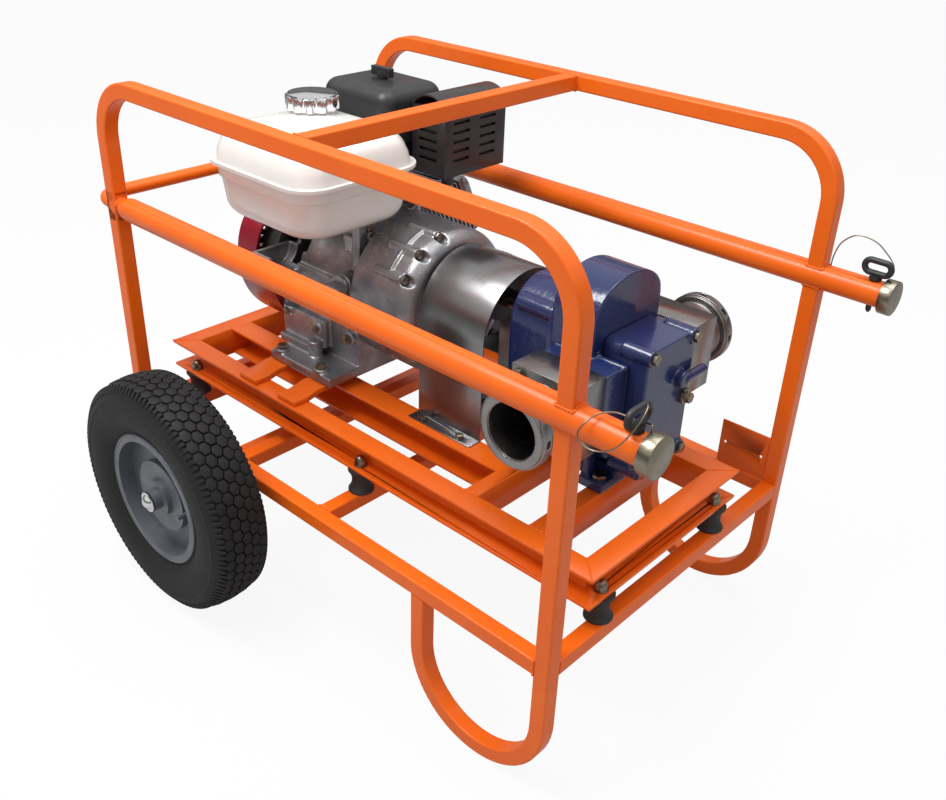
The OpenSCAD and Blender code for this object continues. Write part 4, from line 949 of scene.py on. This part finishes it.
# %% Geometry Nodes: a rippled bead along a line
def build_bead():
    group, enter, leave = node_group("weld_bead", [
        ("Radius", "NodeSocketFloat"), ("Ripple", "NodeSocketFloat"), ("Finish", "NodeSocketMaterial")])
    link = group.links.new
    even = group.nodes.new("GeometryNodeResampleCurve")
    even.mode = "LENGTH"
    even.inputs["Length"].default_value = 0.0009
    travelled = group.nodes.new("GeometryNodeSplineParameter")
    drops = group.nodes.new("ShaderNodeMath")
    drops.operation = "MULTIPLY"
    drops.inputs[1].default_value = 2 * math.pi / 0.0042
    wave = group.nodes.new("ShaderNodeMath")
    wave.operation = "SINE"
    size = group.nodes.new("ShaderNodeMath")
    size.operation = "MULTIPLY_ADD"
    radius = group.nodes.new("GeometryNodeSetCurveRadius")
    section = group.nodes.new("GeometryNodeCurvePrimitiveCircle")
    section.inputs["Resolution"].default_value = 8
    section.inputs["Radius"].default_value = 1
    sweep = group.nodes.new("GeometryNodeCurveToMesh")
    sweep.inputs["Fill Caps"].default_value = True
    smooth = group.nodes.new("GeometryNodeSetShadeSmooth")
    paint = group.nodes.new("GeometryNodeSetMaterial")
    link(enter.outputs["Geometry"], even.inputs["Curve"])
    link(travelled.outputs["Length"], drops.inputs[0])
    link(drops.outputs[0], wave.inputs[0])
    link(wave.outputs[0], size.inputs[0])
    link(enter.outputs["Ripple"], size.inputs[1])
    link(enter.outputs["Radius"], size.inputs[2])
    link(even.outputs["Curve"], radius.inputs["Curve"])
    link(size.outputs[0], radius.inputs["Radius"])
    link(radius.outputs["Curve"], sweep.inputs["Curve"])
    link(section.outputs["Curve"], sweep.inputs["Profile Curve"])
    if "Scale" in sweep.inputs:
        link(size.outputs[0], sweep.inputs["Scale"])
    link(sweep.outputs["Mesh"], smooth.inputs["Geometry"])
    link(smooth.outputs["Geometry"], paint.inputs["Geometry"])
    link(enter.outputs["Finish"], paint.inputs["Material"])
    link(paint.outputs["Geometry"], leave.inputs["Geometry"])
    return group


BEAD = build_bead()


def joint_lines(name, lines):
    """A curve object with one open line for each joint."""
    data = bpy.data.curves.new(name, "CURVE")
    data.dimensions = "3D"
    for line in lines:
        spline = data.splines.new("POLY")
        spline.points.add(len(line) - 1)
        for point, place in zip(spline.points, line):
            point.co = (*place, 1)
    obj = bpy.data.objects.new(name, data)
    scene.collection.objects.link(obj)
    return obj


def weld(name, lines, radius, ripple):
    curve = joint_lines(name, lines)
    modifier = curve.modifiers.new("bead", "NODES")
    modifier.node_group = BEAD
    set_inputs(modifier, {"Radius": radius, "Ripple": ripple, "Finish": powder})
    mesh = evaluated_mesh(curve, name)
    bpy.data.objects.remove(curve)
    obj = bpy.data.objects.new(name, mesh)
    scene.collection.objects.link(obj)
    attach(obj, "trolley")
    print(name, len(lines), "beads,", len(mesh.polygons), "faces")
    return obj


# %% Welding the trolley
FRONT_LEG = (691, 716)


def saddle(side, low, high, above):
    """The closed line where a round rail enters the flat faces of a square leg."""
    turns = [k / 8 * math.asin(LEG_HALF / RAIL_R) for k in range(-8, 9)]
    arc = [(side * RAIL_Y + RAIL_R * math.sin(a), RAIL_Z + above * RAIL_R * math.cos(a)) for a in turns]
    line = [at(low, y, z) for y, z in arc] + [at(high, y, z) for y, z in reversed(arc)]
    return line + line[:1]


def ring_across_x(side, x, radius):
    """The closed line where a round tube meets a leg's flat face."""
    turns = [k * math.pi / 18 for k in range(37)]
    return [at(x, side * RAIL_Y + radius * math.cos(a), RAIL_Z + radius * math.sin(a)) for a in turns]


def square_across_y(y, x, z, size=25):
    corners = ((x, z), (x, z + size), (x + size, z + size), (x + size, z), (x, z))
    return [at(a, y, b) for a, b in corners]


def square_across_x(x, y, z, size=25):
    corners = ((y, z), (y, z + size), (y + size, z + size), (y + size, z), (y, z))
    return [at(x, a, b) for a, b in corners]


# %% Finding the joints and welding them
rail_lines, bar_lines, base_lines = [], [], []
for side in (-1, 1):
    rail_lines += [saddle(side, *FRONT_LEG, 1), saddle(side, *FRONT_LEG, -1)]
    rail_lines += [ring_across_x(side, LEG_FRONT, 12), ring_across_x(side, LEG_REAR, THIN_BAR)]
    bar_lines += [square_across_y(side * 278, x, 215) for x in (-200, 33, 240)]
    bar_lines.append(square_across_y(side * 278, 225, 786))
    bar_lines += [square_across_x(x, 278 if side > 0 else -303, 215) for x in (-214, 691)]
for x, inner_x in ((-235, -200), (710, 675)):
    for y, inner_y in ((-218, -183), (147, 112)):
        base_lines.append([at(x, y, 330), at(inner_x, inner_y, 330)])
for x in (455, 575):
    for y in (-183, 112):
        base_lines.append([at(x, y, 330), at(x + 25, y, 330)])
weld("rail_welds", rail_lines, 0.0021, 0.0004)
weld("bar_welds", bar_lines, 0.0015, 0.0003)
weld("base_welds", base_lines, 0.0012, 0.0003)

# %% [markdown]
# ## Softened edges
# Cut plate, turned parts and screws aren't cast, but their edges still catch the light, because no
# edge is knife sharp. A narrow Bevel on the solid's true edges is enough, and its triangles stay few.

# %% Softening an edge
def softened(node, width, material, body="trolley"):
    obj = merged_copy(node, node + "_softened")
    edge = obj.modifiers.new("edge", "BEVEL")
    edge.width = width
    edge.segments = 2
    edge.limit_method = "ANGLE"
    edge.angle_limit = math.radians(38)
    edge.use_clamp_overlap = True
    edge.harden_normals = False
    plain_mesh(obj)
    obj.data.shade_smooth()
    obj.data.set_sharp_from_angle(angle=math.radians(50))
    dress(obj, material)
    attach(obj, body)
    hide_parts(node)
    return obj


for node, width, material in (
        ("base_channels", 0.0009, powder), ("base_members", 0.0009, powder),
        ("corner_plate", 0.0006, powder), ("coupling_guard", 0.0005, polished),
        ("port_blocks", 0.0012, machined), ("port_nuts", 0.0010, machined),
        ("engine_bolts", 0.0005, zinc), ("pump_bolts", 0.0006, zinc), ("isolator_nuts", 0.0005, zinc),
        ("muffler_guard", 0.0012, stove_black), ("cylinder", 0.0006, die_cast),
        ("carburettor", 0.0012, die_cast)):
    softened(node, width, material)
for node, width, material in (("handle_left", 0.0007, zinc), ("handle_right", 0.0007, zinc),
                              ("oil_cap", 0.0012, die_cast), ("fuel_cap", 0.0014, chrome),
                              ("air_cleaner_knob", 0.0010, moulded)):
    softened(node, width, material, node)

# %% [markdown]
# ## Leaving a note of the size
# The dressed pump must stay inside the solids' box, so that box is printed.

# %% Writing the sizes
print("solids", [tuple(round(v, 3) for v in c) for c in solids_box])
